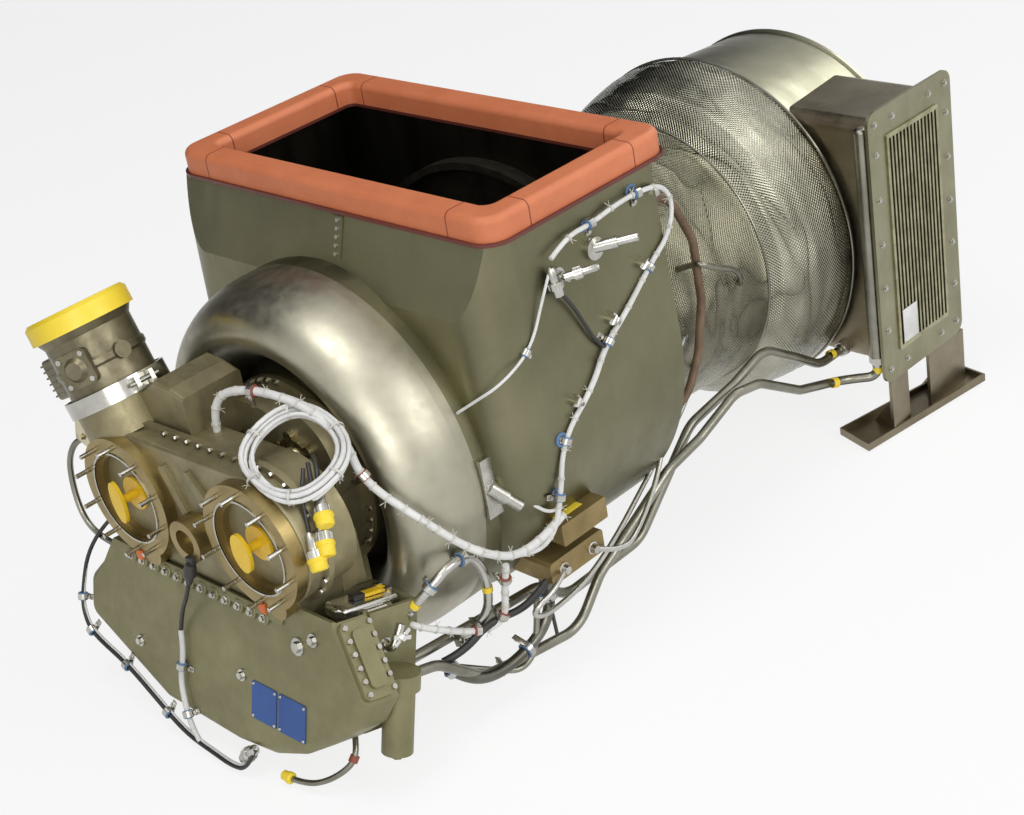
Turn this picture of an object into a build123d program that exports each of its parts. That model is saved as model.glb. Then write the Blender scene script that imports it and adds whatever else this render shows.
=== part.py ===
from build123d import *
import os
from math import acos, atan2, cos, hypot, pi, radians, sin, tan

# Auxiliary power unit, in millimetres. The shaft axis is Y: the gearbox faces -Y, the exhaust faces +Y,
# the intake opens upwards (+Z) and the oil cooler faces +X. y = 0 is the seam of the plenum's nose ring.

os.makedirs("parts", exist_ok=True)

# A shape set on its own origin, and fits and general walls
STANDING = (Align.CENTER, Align.CENTER, Align.MIN)
RUN = 0.05
SHEET = 2.5
CAST_WALL = 8.0
BOLT_R = 4.5
BOLT_HEAD = 5.0

# Intake seal and plenum
MOUTH_HALF_X = 345.0
MOUTH_FRONT = 56.0
MOUTH_REAR = 428.0
MOUTH_CORNER = 36.0
SEAL_TOP = 409.0
SEAL_HEIGHT = 36.0
SEAL_WIDTH = 46.0
SEAL_ROUND = 11.0
LIP_THICK = 5.0
LIP_OVERHANG = 5.0
DRUM_R = 358.0
DRUM_Z = 70.0
PLENUM_FRONT = 20.0
PLENUM_REAR = 388.0
NECK_HALF_X = 340.0
NECK_TOP = SEAL_TOP - SEAL_HEIGHT - LIP_THICK
DRUM_ROUND = 74.0
NECK_SLOPE_Z = 262.0
NECK_SLOPE_Y = 36.0
STRIP_X = 34.0
STRIP_WIDTH = 22.0

# Nose ring: an elliptical half section spun round the shaft
RING_MID_R = 238.0
RING_HALF = 60.0
RING_DEPTH = 106.0
RING_FRONT_Y = -18.0
RING_INNER_BACK = 8.0
RING_WALL = 3.0

# Gear train: every gear shares one module, so the centre distances follow from the teeth
MODULE = 4.0
PINION_TEETH = 33
GENERATOR_TEETH = 42
ACCESSORY_TEETH = 30
PUMP_TEETH = 20
GENERATOR_LEFT_ANGLE = 171.0
GENERATOR_RIGHT_ANGLE = 12.5
ACCESSORY_ANGLE = 41.1
PUMP_ANGLE = -90.0
BACKLASH = 0.30
SHAFT_R = 15.0
HUB_R = 24.0
SPLINE_R = 14.0
STUB_R = 11.0

# Gear case
CASE_FRONT = -280.0
CASE_MID = -192.0
CASE_STEP = -150.0
MID_CORE_R = 48.0
MID_LEFT_R = 72.0
MID_REACH = 190.0
CASE_REAR = -83.0
CASE_LOBE_R = 100.0
CASE_BOTTOM = -88.0
REAR_CASE_R = 148.0
ACCESSORY_LOBE_R = 76.0
LOBE_BACK = -107.0
CASE_FLANGE_Y = -252.0
CASE_FLANGE_OUT = 9.0
CASE_FLANGE_THICK = 10.0
REAR_FLANGE_R = 158.0
REAR_FLANGE_THICK = 8.0
GEAR_FRONT_Y = -240.0
GEAR_WIDTH = 34.0
ACCESSORY_GEAR_Y = -139.0
ACCESSORY_GEAR_WIDTH = 19.0

# Generator pads
PAD_R = 98.0
PAD_BORE_R = 72.0
PAD_STEP_R = 66.0
PAD_STEP_DEPTH = 9.0
PAD_THICK = 20.0
PAD_STUDS = 10
STUD_R = 3.5
STUD_PCD = 170.0
STUD_LENGTH = 26.0

# Air outlet valve on its tilted axis
VALVE_TILT = 24.6
VALVE_X = -212.0
VALVE_Y = -228.0
VALVE_Z = 156.0
VALVE_R = 68.0
VALVE_BORE_R = 62.0
VBAND_R = 80.0
VBAND_WIDTH = 26.0
CAP_R = 81.0
DISC_THICK = 6.0
DISC_SHAFT_R = 6.0
DISC_HEIGHT = 52.0

# Oil system: the sump stands upright when the unit hangs nose down by this angle
OIL_TILT = 16.5
SUMP_FACE = -248.0
SUMP_STEP = -184.0
SUMP_BACK = -95.0
SUMP_WALL = 7.0
SUMP_EDGE = 16.0
SUMP_CORNER = 26.0
TOWER_LEFT = 176.0
TOWER_RIGHT = 272.0
TOWER_TOP = -139.0
POCKET_WALL = 7.0
POCKET_DEPTH = 34.0
SEAT_HEIGHT = 20.0
CAP_X = 222.0
CAP_MID = -156.0
CAP_LENGTH = 106.0
CAP_WIDTH = 50.0
CAP_THICK = 11.0
BOWL_X = 300.0
BOWL_MID = -151.0
BOWL_TOP = -250.0
BOWL_BOTTOM = -348.0
BOWL_R = 23.0

# Core engine stations along Y
BULKHEAD_Y = 372.0
CORE_FRONT = PLENUM_REAR
BLANKET_SEAM = 743.0
BLANKET_RIM = 899.0
CORE_R = 206.0
CORE_WALL = 6.0
CORE_FLANGE = 8.0
FRONT_BLANKET_OUT = 34.0
REAR_BLANKET_R = 301.0
BARREL_R = 276.0
BARREL_END = 1127.0
IMPELLER_Y = 398.0
IMPELLER_LENGTH = 92.0
IMPELLER_EYE_R = 88.0
IMPELLER_TIP_R = 158.0
BLADE_COUNT = 12
TURBINE_R = 122.0
TURBINE_STEPS = (30.0, 74.0)
TURBINE_LENGTH = 95.0
LINER_GAP = 26.0
CASING_SPLIT = 520.0
LINER_INNER = 108.0
NOZZLE_COUNT = 10

# Oil cooler and skid
COOLER_X = 360.0
COOLER_FRONT = 884.0
COOLER_REAR = 1124.0
COOLER_LOW = -240.0
COOLER_HIGH = 254.0
COOLER_PLATE = 6.0
CORE_FRONT_Y = 930.0
CORE_REAR_Y = 1080.0
CORE_LOW_Z = -191.0
CORE_HIGH_Z = 205.0
CORE_GROOVES = 14
DUCT_FRONT = 908.0
DUCT_REAR = 1098.0
DUCT_LOW = -214.0
DUCT_HIGH = 230.0
SKID_TOP = -322.0
SKID_BASE = -345.0

# Cords and tubes
HARNESS_R = 8.0
BRANCH_R = 5.0
OIL_TUBE_R = 8.0
HOSE_R = 7.0


def front_plane(y):
    """A sketch plane across the shaft: local x is X, local y is Z, facing -Y."""
    return Plane(origin=(0, y, 0), x_dir=(1, 0, 0), z_dir=(0, -1, 0))


def slab(sketch, y_front, y_back):
    return extrude(front_plane(y_back) * sketch, amount=y_back - y_front, dir=(0, -1, 0))


def disc(radius, y_front, y_back, x=0, z=0):
    return slab(Pos(x, z) * Circle(radius), y_front, y_back)


def tube(outer, inner, y_front, y_back, x=0, z=0):
    return slab(Pos(x, z) * (Circle(outer) - Circle(inner)), y_front, y_back)


def spun(profile):
    """Turn a profile of (radius, station) about the shaft axis."""
    return revolve(Plane.XY * profile, axis=Axis.Y)


def outline(*points):
    return Polygon(*points, align=None)


def polar(radius, angle, x=0, z=0):
    return (x + radius * cos(radians(angle)), z + radius * sin(radians(angle)))


def box_at(low, high):
    size = [b - a for a, b in zip(low, high)]
    return Pos(*low) * Box(*size, align=(Align.MIN, Align.MIN, Align.MIN))


def hexes(places, y_front, thickness, radius=BOLT_R):
    """Bolt heads seated on a face that looks to -Y."""
    return [slab(Pos(x, z) * RegularPolygon(radius, 6), y_front, y_front + thickness) for x, z in places]


def save(node, *shapes):
    """Write one node; the shapes of a group stay separate solids."""
    solids = [solid for shape in shapes for solid in shape.solids()]
    export_step(Compound(solids, label=node), f"parts/{node}.step")


# Oil frame: upright when installed; x stays X, local y runs back, local z runs up
OIL = Plane(origin=(0, 0, 0), x_dir=(1, 0, 0), z_dir=(0, sin(radians(OIL_TILT)), cos(radians(OIL_TILT))))


def oil_slab(sketch, back_from, back_to):
    """Extrude an (x, up) sketch between two stations of the oil frame."""
    face = Plane(origin=OIL.from_local_coords((0, back_to, 0)), x_dir=(1, 0, 0), z_dir=-OIL.y_dir)
    return extrude(face * sketch, amount=back_to - back_from, dir=-OIL.y_dir)


def oil_box(low, high):
    return OIL.location * box_at(low, high)


def cord_radii(points):
    """Each arc is as large as its two runs allow."""
    radii = []
    for a, b, c in zip(points, points[1:], points[2:]):
        before, after = Vector(*b) - Vector(*a), Vector(*c) - Vector(*b)
        turn = radians(before.get_angle(after))
        radii.append(0.45 * min(before.length, after.length) / tan(turn / 2))
    return radii


def pipe(points, radius, largest=None):
    """A round tube along straight runs joined by arcs."""
    radii = cord_radii(points)
    if largest:
        radii = [min(r, largest) for r in radii]
    path = FilletPolyline(*points, radius=radii)
    start = Plane(origin=path @ 0, z_dir=path % 0)
    return sweep(start * Circle(radius), path=path)


# Intake

def drum_section(inset, top):
    """Round below, tangent sides up to the neck."""
    radius = DRUM_R - inset
    half = NECK_HALF_X - inset
    reach = hypot(half, NECK_TOP - DRUM_Z)
    angle = atan2(NECK_TOP - DRUM_Z, half) - acos(radius / reach)
    tx, tz = radius * cos(angle), DRUM_Z + radius * sin(angle)
    grow = (top - NECK_TOP) / (NECK_TOP - tz)
    corner_x, corner_z = half + (half - tx) * grow, top
    bottom = ThreePointArc((tx, tz), (0, DRUM_Z - radius), (-tx, tz))
    sides = Polyline((-tx, tz), (-corner_x, corner_z), (corner_x, corner_z), (tx, tz))
    return make_face([bottom, *sides.edges()])


def plenum_body(inset, top):
    front, rear = PLENUM_FRONT + inset, PLENUM_REAR - inset
    body = slab(drum_section(inset, top), front, rear)
    edges = [e for e in body.edges() if abs(e.center().Y - front) < 0.01 and e.center().Z < top - 1]
    body = fillet(edges, DRUM_ROUND - inset)
    slope = outline((-200, NECK_SLOPE_Z), (front, NECK_SLOPE_Z), (front + NECK_SLOPE_Y, NECK_TOP),
                    (front + NECK_SLOPE_Y, top + 1), (-200, top + 1))
    wedge = extrude(Plane.YZ.offset(-500) * slope, amount=1000)
    return body - wedge


def collar(inset, front):
    """The round collar behind the nose ring, tapered where it runs out under the drum."""
    radius = RING_MID_R + RING_HALF - inset
    back = PLENUM_FRONT + DRUM_ROUND - inset
    return spun(outline((0, front), (radius, front), (radius, back - 34), (radius - 14, back), (0, back)))


plenum_outer = plenum_body(0, NECK_TOP) + collar(0, 0)
plenum_inner = plenum_body(SHEET, NECK_TOP + 20) + collar(RING_WALL, -1)
plenum = plenum_outer - plenum_inner - disc(CORE_R, PLENUM_REAR - 40, PLENUM_REAR + 10)


def mouth(outset, corner):
    width = 2 * (MOUTH_HALF_X + outset)
    depth = MOUTH_REAR - MOUTH_FRONT + 2 * outset
    return Pos(0, (MOUTH_FRONT + MOUTH_REAR) / 2) * RectangleRounded(width, depth, corner)


seal_low = SEAL_TOP - SEAL_HEIGHT
seal = extrude(Plane.XY.offset(seal_low) * (mouth(0, MOUTH_CORNER) - mouth(-SEAL_WIDTH, 14)),
               amount=SEAL_HEIGHT)
seal = fillet(seal.edges().group_by(Axis.Z)[-1], SEAL_ROUND)
save("intake_seal", seal)
lip = extrude(Plane.XY.offset(NECK_TOP) * (mouth(LIP_OVERHANG, MOUTH_CORNER + 5) - mouth(-SEAL_WIDTH, 14)),
              amount=LIP_THICK)
save("seal_retainer", lip)

strip_slope = atan2(NECK_SLOPE_Y, NECK_TOP - NECK_SLOPE_Z)
strip_plane = Plane(origin=(STRIP_X, PLENUM_FRONT, NECK_SLOPE_Z), x_dir=(1, 0, 0),
                    z_dir=(0, -cos(strip_slope), sin(strip_slope)))
strip_from, strip_to = 46.0, hypot(NECK_SLOPE_Y, NECK_TOP - NECK_SLOPE_Z) - 4
strip_shape = Pos(0, (strip_from + strip_to) / 2) * Rectangle(STRIP_WIDTH, strip_to - strip_from)
save("intake_plenum", plenum + (extrude(strip_plane * strip_shape, amount=2.0) - plenum_outer))
rivet_ups = [strip_from + (strip_to - strip_from) * (k + 0.5) / 5 for k in range(5)]
rivets = [extrude(strip_plane.offset(2.0) * Pos(0, up) * Circle(3.2), amount=2.0) for up in rivet_ups]


# Nose ring and what joins it to the gearbox

def ring_section(inset, outer_back, inner_back):
    half = RING_HALF - inset
    inner_r, outer_r = RING_MID_R - half, RING_MID_R + half
    nose = Pos(RING_MID_R, RING_FRONT_Y) * Ellipse(half, RING_DEPTH - inset)
    nose -= Pos(RING_MID_R, RING_FRONT_Y + 200) * Rectangle(400, 400)
    walls = outline((inner_r, RING_FRONT_Y), (outer_r, RING_FRONT_Y), (outer_r, outer_back),
                    (RING_MID_R, outer_back), (RING_MID_R, inner_back), (inner_r, inner_back))
    return nose + walls


ring_profile = ring_section(0, 0, RING_INNER_BACK) - ring_section(RING_WALL, 20, RING_INNER_BACK + 20)
save("nose_ring", spun(ring_profile))

ring_inner_r = RING_MID_R - RING_HALF
cone = outline((REAR_FLANGE_R - 22, CASE_REAR + 6), (REAR_FLANGE_R, CASE_REAR + 6),
               (ring_inner_r, RING_FRONT_Y - 14), (ring_inner_r, RING_FRONT_Y - 12),
               (REAR_FLANGE_R - 2, CASE_REAR + 8), (REAR_FLANGE_R - 22, CASE_REAR + 8))
save("nose_cone_plate", spun(cone))
adapter = tube(REAR_FLANGE_R, REAR_CASE_R - 40, CASE_REAR, CASE_REAR + 6)
save("adapter_ring", adapter)

# Gear centres and teeth

def centre(teeth, angle):
    return polar(MODULE * (PINION_TEETH + teeth) / 2, angle)


LEFT = centre(GENERATOR_TEETH, GENERATOR_LEFT_ANGLE)
RIGHT = centre(GENERATOR_TEETH, GENERATOR_RIGHT_ANGLE)
ACCESSORY = centre(ACCESSORY_TEETH, ACCESSORY_ANGLE)
PUMP = centre(PUMP_TEETH, PUMP_ANGLE)


def tooth_phase(teeth, angle):
    """The angle that puts a gap of this gear on a tooth of the pinion at rest."""
    pitch, own = 360 / PINION_TEETH, 360 / teeth
    offset = (angle % pitch) / pitch
    return angle + 180 - (0.5 - offset) * own


def gear_face(teeth, bore, phase=0.0):
    """Teeth with flat flanks laid through the involute at root and tip."""
    pitch_r = MODULE * teeth / 2
    base_r = pitch_r * cos(radians(20))
    involute = tan(radians(20)) - radians(20)

    def half_angle(r):
        pressure = acos(min(1.0, base_r / r))
        return (pi / 2 - BACKLASH / MODULE) / teeth + involute - (tan(pressure) - pressure)

    root, tip = pitch_r - 1.25 * MODULE, pitch_r + 0.95 * MODULE
    corners = []
    for k in range(teeth):
        middle = radians(phase) + 2 * pi * k / teeth
        for r, side in ((root, -1), (tip, -1), (tip, 1), (root, 1)):
            angle = middle + side * half_angle(max(r, base_r))
            corners.append((r * cos(angle), r * sin(angle)))
    return outline(*corners) - Circle(bore)


def gear(teeth, angle, y_front, width, bore):
    x, z = centre(teeth, angle)
    return slab(Pos(x, z) * gear_face(teeth, bore, tooth_phase(teeth, angle)), y_front, y_front + width)


# Gear case

def case_front_face(inset, bottom_inset=0):
    rim = CASE_LOBE_R - inset
    lobes = Pos(*LEFT) * Circle(rim) + Pos(*RIGHT) * Circle(rim)
    hull = make_hull(lobes.edges())
    low = CASE_BOTTOM + bottom_inset
    base = outline((LEFT[0] - 40, low), (RIGHT[0] + 40, low), (RIGHT[0] + 60, 0), (LEFT[0] - 60, 0))
    return hull + base


def case_rear(inset):
    """The round rear case with the accessory gear's lobe, which stops short of the nose ring."""
    body = disc(REAR_CASE_R - inset, CASE_STEP + inset, CASE_REAR - inset)
    return body + disc(ACCESSORY_LOBE_R - inset, CASE_STEP + inset, LOBE_BACK - inset, *ACCESSORY)


def case_mid_face(inset):
    """Behind the front case: low on the right, where the accessory gear and its cover need the room."""
    left = make_hull((Circle(MID_CORE_R - inset) + Pos(*LEFT) * Circle(MID_LEFT_R - inset)).edges())
    low = CASE_BOTTOM + inset
    reach = MID_REACH - inset
    return left + outline((-reach, low), (reach, low), (reach, -4 - inset), (-reach, -4 - inset))


case_outer = slab(case_front_face(0), CASE_FRONT, CASE_MID) + slab(case_mid_face(0), CASE_MID - 1, CASE_STEP)
case_outer += case_rear(0)
case_outer += disc(STUB_R + 9, CASE_MID, CASE_MID + 8, *RIGHT)
case_outer += slab(case_front_face(-CASE_FLANGE_OUT), CASE_FLANGE_Y, CASE_FLANGE_Y + CASE_FLANGE_THICK)
case_outer += disc(REAR_FLANGE_R, CASE_REAR - REAR_FLANGE_THICK, CASE_REAR)
case_outer -= box_at((-400, -400, CASE_BOTTOM - 200), (400, 0, CASE_BOTTOM))
front_edges = case_outer.edges().group_by(Axis.Y)[0]
case_outer = fillet(front_edges, 7)
case_solid = case_outer

GEAR_BACK = GEAR_FRONT_Y + GEAR_WIDTH
case = case_outer - slab(case_front_face(CAST_WALL, CAST_WALL), CASE_FRONT + CAST_WALL, CASE_MID - CAST_WALL)
case -= case_rear(CAST_WALL)
case -= slab(case_mid_face(CAST_WALL) & Pos(0, -50) * Rectangle(500, 60), CASE_MID - 30, CASE_STEP + 20)
case -= disc(HUB_R, CASE_MID - 30, CASE_STEP + 20)
for spot in (LEFT, RIGHT):
    case += disc(HUB_R + 8, CASE_FRONT + CAST_WALL, GEAR_FRONT_Y - 10, *spot)
    case -= disc(HUB_R + RUN, CASE_FRONT - 1, GEAR_FRONT_Y, *spot)
    case -= disc(STUB_R + RUN, CASE_MID - CAST_WALL - 1, CASE_MID + 4, *spot)
BEARING_R = 30.0
case += disc(BEARING_R + 8, CASE_FRONT + CAST_WALL, CASE_FRONT + 22)
case -= disc(BEARING_R, CASE_FRONT - 1, CASE_FRONT + 23)
case += disc(BEARING_R + 8, CASE_REAR - 20, CASE_REAR - CAST_WALL)
case -= disc(BEARING_R, CASE_REAR - 21, CASE_REAR + 1)
case -= disc(STUB_R + RUN, CASE_STEP - 1, CASE_STEP + 9, *ACCESSORY)
case -= disc(STUB_R + RUN, LOBE_BACK - 9, LOBE_BACK - 2, *ACCESSORY)
PUMP_WELL_R = MODULE * PUMP_TEETH / 2 + MODULE + 6
pump_well = disc(PUMP_WELL_R, GEAR_FRONT_Y - 6, GEAR_BACK + 6, *PUMP)
case -= pump_well

# Fasteners of the case flange follow its outline
bolt_line = CASE_LOBE_R + CASE_FLANGE_OUT / 2
flange_hull = make_hull((Pos(*LEFT) * Circle(bolt_line) + Pos(*RIGHT) * Circle(bolt_line)).edges())
flange_edge = flange_hull.faces()[0].outer_wire()
flange_spots = [flange_edge.position_at(k / 46) for k in range(46)]
flange_spots = [(p.X, p.Y) for p in flange_spots if p.Y > -40 and (p.X > -95 or p.Y < 60)]
case_bolts = hexes(flange_spots, CASE_FLANGE_Y - BOLT_HEAD, BOLT_HEAD, 4.2)
ring_spots = [polar(REAR_FLANGE_R - 4.8, a) for a in (*range(-30, -4, 8), *range(92, 211, 8))]
ring_bolts = hexes(ring_spots, CASE_REAR - REAR_FLANGE_THICK - BOLT_HEAD, BOLT_HEAD, 4.2)


def generator_pad(spot):
    """A bronze ring with a stepped bore and a lobe at its foot."""
    face = Circle(PAD_R) + Pos(PAD_R * 0.28, -PAD_R * 0.86) * Circle(24)
    pad = slab(Pos(*spot) * (face - Circle(PAD_BORE_R)), CASE_FRONT - PAD_THICK, CASE_FRONT)
    pad += slab(Pos(*spot) * (Circle(PAD_BORE_R) - Circle(PAD_STEP_R)),
                CASE_FRONT - PAD_THICK + PAD_STEP_DEPTH, CASE_FRONT)
    return pad


pad_left, pad_right = generator_pad(LEFT), generator_pad(RIGHT)
for rib_x, rib_z, rib_angle in ((-34, 62, -63), (34, 74, -48)):
    rib = slab(Pos(rib_x, rib_z) * Rot(0, 0, rib_angle) * RectangleRounded(84, 15, 7), CASE_FRONT - 7,
               CASE_FRONT)
    case += rib - pad_left - pad_right - disc(36, CASE_FRONT - 10, CASE_FRONT)
save("gearbox_case", case)
save("generator_pads", pad_left, pad_right)
stud_spots = [polar(STUD_PCD / 2, 18 + k * 360 / PAD_STUDS, *spot) for spot in (LEFT, RIGHT)
              for k in range(PAD_STUDS)]
stud_front = CASE_FRONT - PAD_THICK - STUD_LENGTH
save("pad_studs", *[disc(STUD_R, stud_front, CASE_FRONT - PAD_THICK, x, z) for x, z in stud_spots])

port = tube(34, 20, CASE_FRONT - 30, CASE_FRONT) + disc(20, CASE_FRONT - 12, CASE_FRONT - 6)
port += slab(make_hull((Circle(34) + Pos(-26, -34) * Circle(9) + Pos(28, 34) * Circle(9)).edges())
             - Circle(30),
             CASE_FRONT - 8, CASE_FRONT)
port_solid = port - pad_left - pad_right
save("shaft_port", port_solid)

cover_lobes = Circle(36)
for a in (35, 100, 160, 235, 305):
    cover_lobes += Pos(*polar(37, a)) * Circle(9)
cover = slab(Pos(*ACCESSORY) * cover_lobes, CASE_STEP - 8, CASE_STEP)
dome = spun(Pos(0, 0) * (Ellipse(23, 12) & Pos(12, -6) * Rectangle(24, 12)))
cover += Pos(ACCESSORY[0], CASE_STEP - 8, ACCESSORY[1]) * dome
cover -= case_solid
save("accessory_cover", cover)

# Rotor

def blade(profile, thickness):
    """A flat blade drawn as (radius, station) and set radially at angle 0."""
    return extrude(Plane(origin=(0, 0, -thickness / 2), z_dir=(0, 0, 1)) * profile, amount=thickness)


def around(shape, count, start=0.0):
    return [Rot(0, start + k * 360 / count, 0) * shape for k in range(count)]


IMPELLER_BACK = IMPELLER_Y + IMPELLER_LENGTH
hub_profile = outline((SHAFT_R, IMPELLER_Y), (34, IMPELLER_Y), (36, IMPELLER_Y + 32), (50, IMPELLER_Y + 56),
                      (82, IMPELLER_Y + 74), (IMPELLER_TIP_R, IMPELLER_BACK - 5),
                      (IMPELLER_TIP_R, IMPELLER_BACK),
                      (60, IMPELLER_BACK + 8), (SHAFT_R, IMPELLER_BACK + 12))
blade_profile = outline((30, IMPELLER_Y + 4), (IMPELLER_EYE_R, IMPELLER_Y + 4),
                        (IMPELLER_EYE_R, IMPELLER_Y + 38),
                        (97, IMPELLER_Y + 58), (121, IMPELLER_Y + 71), (IMPELLER_TIP_R, IMPELLER_Y + 78),
                        (IMPELLER_TIP_R, IMPELLER_BACK - 3), (82, IMPELLER_Y + 76), (40, IMPELLER_Y + 40))
impeller = spun(hub_profile) + around(blade(blade_profile, 3.0), BLADE_COUNT)
save("impeller", impeller)

wheels = []
for step in TURBINE_STEPS:
    station = BLANKET_SEAM + step
    wheel = spun(outline((SHAFT_R, station - 14), (30, station - 14), (34, station - 6), (88, station - 6),
                         (88, station + 6), (34, station + 6), (30, station + 14), (SHAFT_R, station + 14)))
    foil = Pos(104, station, 0) * Rot(34, 0, 0) * Box(2 * (TURBINE_R - 104), 20, 3)
    wheels.append(wheel + around(foil, 20))
save("turbine_wheels", *wheels)

TURBINE_OUT = BLANKET_SEAM + TURBINE_LENGTH
SHAFT_FRONT, SHAFT_BACK = -270.0, TURBINE_OUT + 8
save("main_shaft", disc(SHAFT_R, SHAFT_FRONT, SHAFT_BACK))
pinion_phase = 0.0
front_pinion = slab(gear_face(PINION_TEETH, SHAFT_R, pinion_phase), GEAR_FRONT_Y, GEAR_BACK)
rear_pinion = slab(gear_face(PINION_TEETH, SHAFT_R, pinion_phase), ACCESSORY_GEAR_Y,
                   ACCESSORY_GEAR_Y + ACCESSORY_GEAR_WIDTH)
save("drive_pinions", front_pinion, rear_pinion)


def bearing(y_front, y_back, outer):
    return tube(outer, SHAFT_R + RUN, y_front, y_back)


bearings = [bearing(CASE_FRONT + 4, CASE_FRONT + 20, BEARING_R),
            bearing(CASE_REAR - 19, CASE_REAR - 3, BEARING_R),
            bearing(CASING_SPLIT - 4, CASING_SPLIT + 12, BEARING_R),
            bearing(BLANKET_SEAM - 7, BLANKET_SEAM + 1, BEARING_R)]
save("shaft_bearings", *bearings)

for side, spot, teeth, angle in (("left", LEFT, GENERATOR_TEETH, GENERATOR_LEFT_ANGLE),
                                 ("right", RIGHT, GENERATOR_TEETH, GENERATOR_RIGHT_ANGLE)):
    wheel = gear(teeth, angle, GEAR_FRONT_Y, GEAR_WIDTH, SPLINE_R)
    wheel += tube(HUB_R, SPLINE_R, CASE_FRONT + 0.5, GEAR_FRONT_Y, *spot)
    wheel += disc(HUB_R, GEAR_BACK - 8, GEAR_BACK, *spot) + disc(STUB_R, GEAR_BACK, CASE_MID + 3, *spot)
    save(f"generator_gear_{side}", wheel)

ACC_FRONT, ACC_BACK = ACCESSORY_GEAR_Y, ACCESSORY_GEAR_Y + ACCESSORY_GEAR_WIDTH
accessory_gear = gear(ACCESSORY_TEETH, ACCESSORY_ANGLE, ACC_FRONT, ACCESSORY_GEAR_WIDTH, 4)
accessory_gear += disc(STUB_R, CASE_STEP + 0.5, ACC_FRONT, *ACCESSORY)
accessory_gear += disc(STUB_R, ACC_BACK, LOBE_BACK - 2.5, *ACCESSORY)
save("accessory_gear", accessory_gear)
PUMP_FRONT, PUMP_BACK = GEAR_FRONT_Y - 9, GEAR_BACK + 9
pump_gear = gear(PUMP_TEETH, PUMP_ANGLE, GEAR_FRONT_Y, GEAR_WIDTH, 4)
pump_gear += disc(STUB_R, PUMP_FRONT, GEAR_FRONT_Y, *PUMP) + disc(STUB_R, GEAR_BACK, PUMP_BACK, *PUMP)
save("oil_pump_gear", pump_gear)

# Core engine casings
tunnel = outline((40, CASE_REAR), (96, CASE_REAR), (96, CASE_REAR + 8), (90, CASE_REAR + 8), (52, 40),
                 (52, BULKHEAD_Y + 10),
                 (60, BULKHEAD_Y + 10), (60, BULKHEAD_Y + 14), (46, BULKHEAD_Y + 14), (46, 38),
                 (84, CASE_REAR + 6),
                 (40, CASE_REAR + 6))
shaft_tunnel = spun(tunnel)
save("shaft_tunnel", shaft_tunnel)
bulkhead = outline((CORE_R, PLENUM_REAR - SHEET - 4), (CORE_R, PLENUM_REAR - SHEET),
                   (318, PLENUM_REAR - SHEET),
                   (318, BULKHEAD_Y - 12), (306, BULKHEAD_Y - 12), (300, PLENUM_REAR - SHEET - 4))
strut = box_at((44, BULKHEAD_Y + 4, -3), (CORE_R + 10, BULKHEAD_Y + 12, 3))
spider = spun(bulkhead) + around(strut, 4, 45)
spider -= disc(52, BULKHEAD_Y, PLENUM_REAR) + shaft_tunnel
save("rear_bulkhead", spider & plenum_inner)

# Casings: every flange stands the same height over the core, and every wall is the same thickness
FLANGE_R = CORE_R + CORE_FLANGE
CORE_IN = CORE_R - CORE_WALL
SHROUD_R = IMPELLER_EYE_R + 1.5
compressor = outline((CORE_R + 16, CORE_FRONT), (CORE_R + 16, CORE_FRONT + 8), (CORE_R, CORE_FRONT + 10),
                     (CORE_R, CASING_SPLIT - 8), (FLANGE_R, CASING_SPLIT - 8), (FLANGE_R, CASING_SPLIT),
                     (CORE_IN, CASING_SPLIT), (CORE_IN, CORE_FRONT + 12), (112, CORE_FRONT + 12),
                     (97, IMPELLER_Y + 10), (97, IMPELLER_Y + 32), (104, IMPELLER_Y + 48.5),
                     (124.5, IMPELLER_Y + 63),
                     (172, IMPELLER_Y + 71.5), (172, IMPELLER_Y + 77), (121.6, IMPELLER_Y + 68.8),
                     (98.5, IMPELLER_Y + 56), (SHROUD_R, IMPELLER_Y + 37), (SHROUD_R, IMPELLER_Y + 2),
                     (104, CORE_FRONT))
save("compressor_casing", spun(compressor))
carrier = outline((FLANGE_R, CASING_SPLIT), (FLANGE_R, CASING_SPLIT + 6), (CORE_IN - 4, CASING_SPLIT + 6),
                  (60, CASING_SPLIT + 14), (BEARING_R + 8, CASING_SPLIT + 14), (BEARING_R, CASING_SPLIT + 14),
                  (BEARING_R, CASING_SPLIT - 6), (BEARING_R + 8, CASING_SPLIT - 6), (66, CASING_SPLIT + 2),
                  (CORE_IN - 4, CASING_SPLIT))
save("bearing_carrier", spun(carrier))
COMBUSTOR_FRONT = CASING_SPLIT + 6
combustor = outline((FLANGE_R, COMBUSTOR_FRONT), (FLANGE_R, COMBUSTOR_FRONT + 8),
                    (CORE_R, COMBUSTOR_FRONT + 10),
                    (CORE_R, BLANKET_SEAM - 7), (FLANGE_R, BLANKET_SEAM - 7), (FLANGE_R, BLANKET_SEAM),
                    (CORE_IN, BLANKET_SEAM), (CORE_IN, COMBUSTOR_FRONT))
combustor_casing = spun(combustor)
NOZZLE_Y = COMBUSTOR_FRONT + 40
NOZZLE_R = 8.0
LINER_OUTER = CORE_R - LINER_GAP


def nozzle_bar(radius, low, length):
    """A bar pointing outwards at the fuel nozzles' station."""
    return extrude(Plane(origin=(low, NOZZLE_Y, 0), x_dir=(0, 1, 0), z_dir=(1, 0, 0)) * Circle(radius),
                   amount=length)


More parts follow.
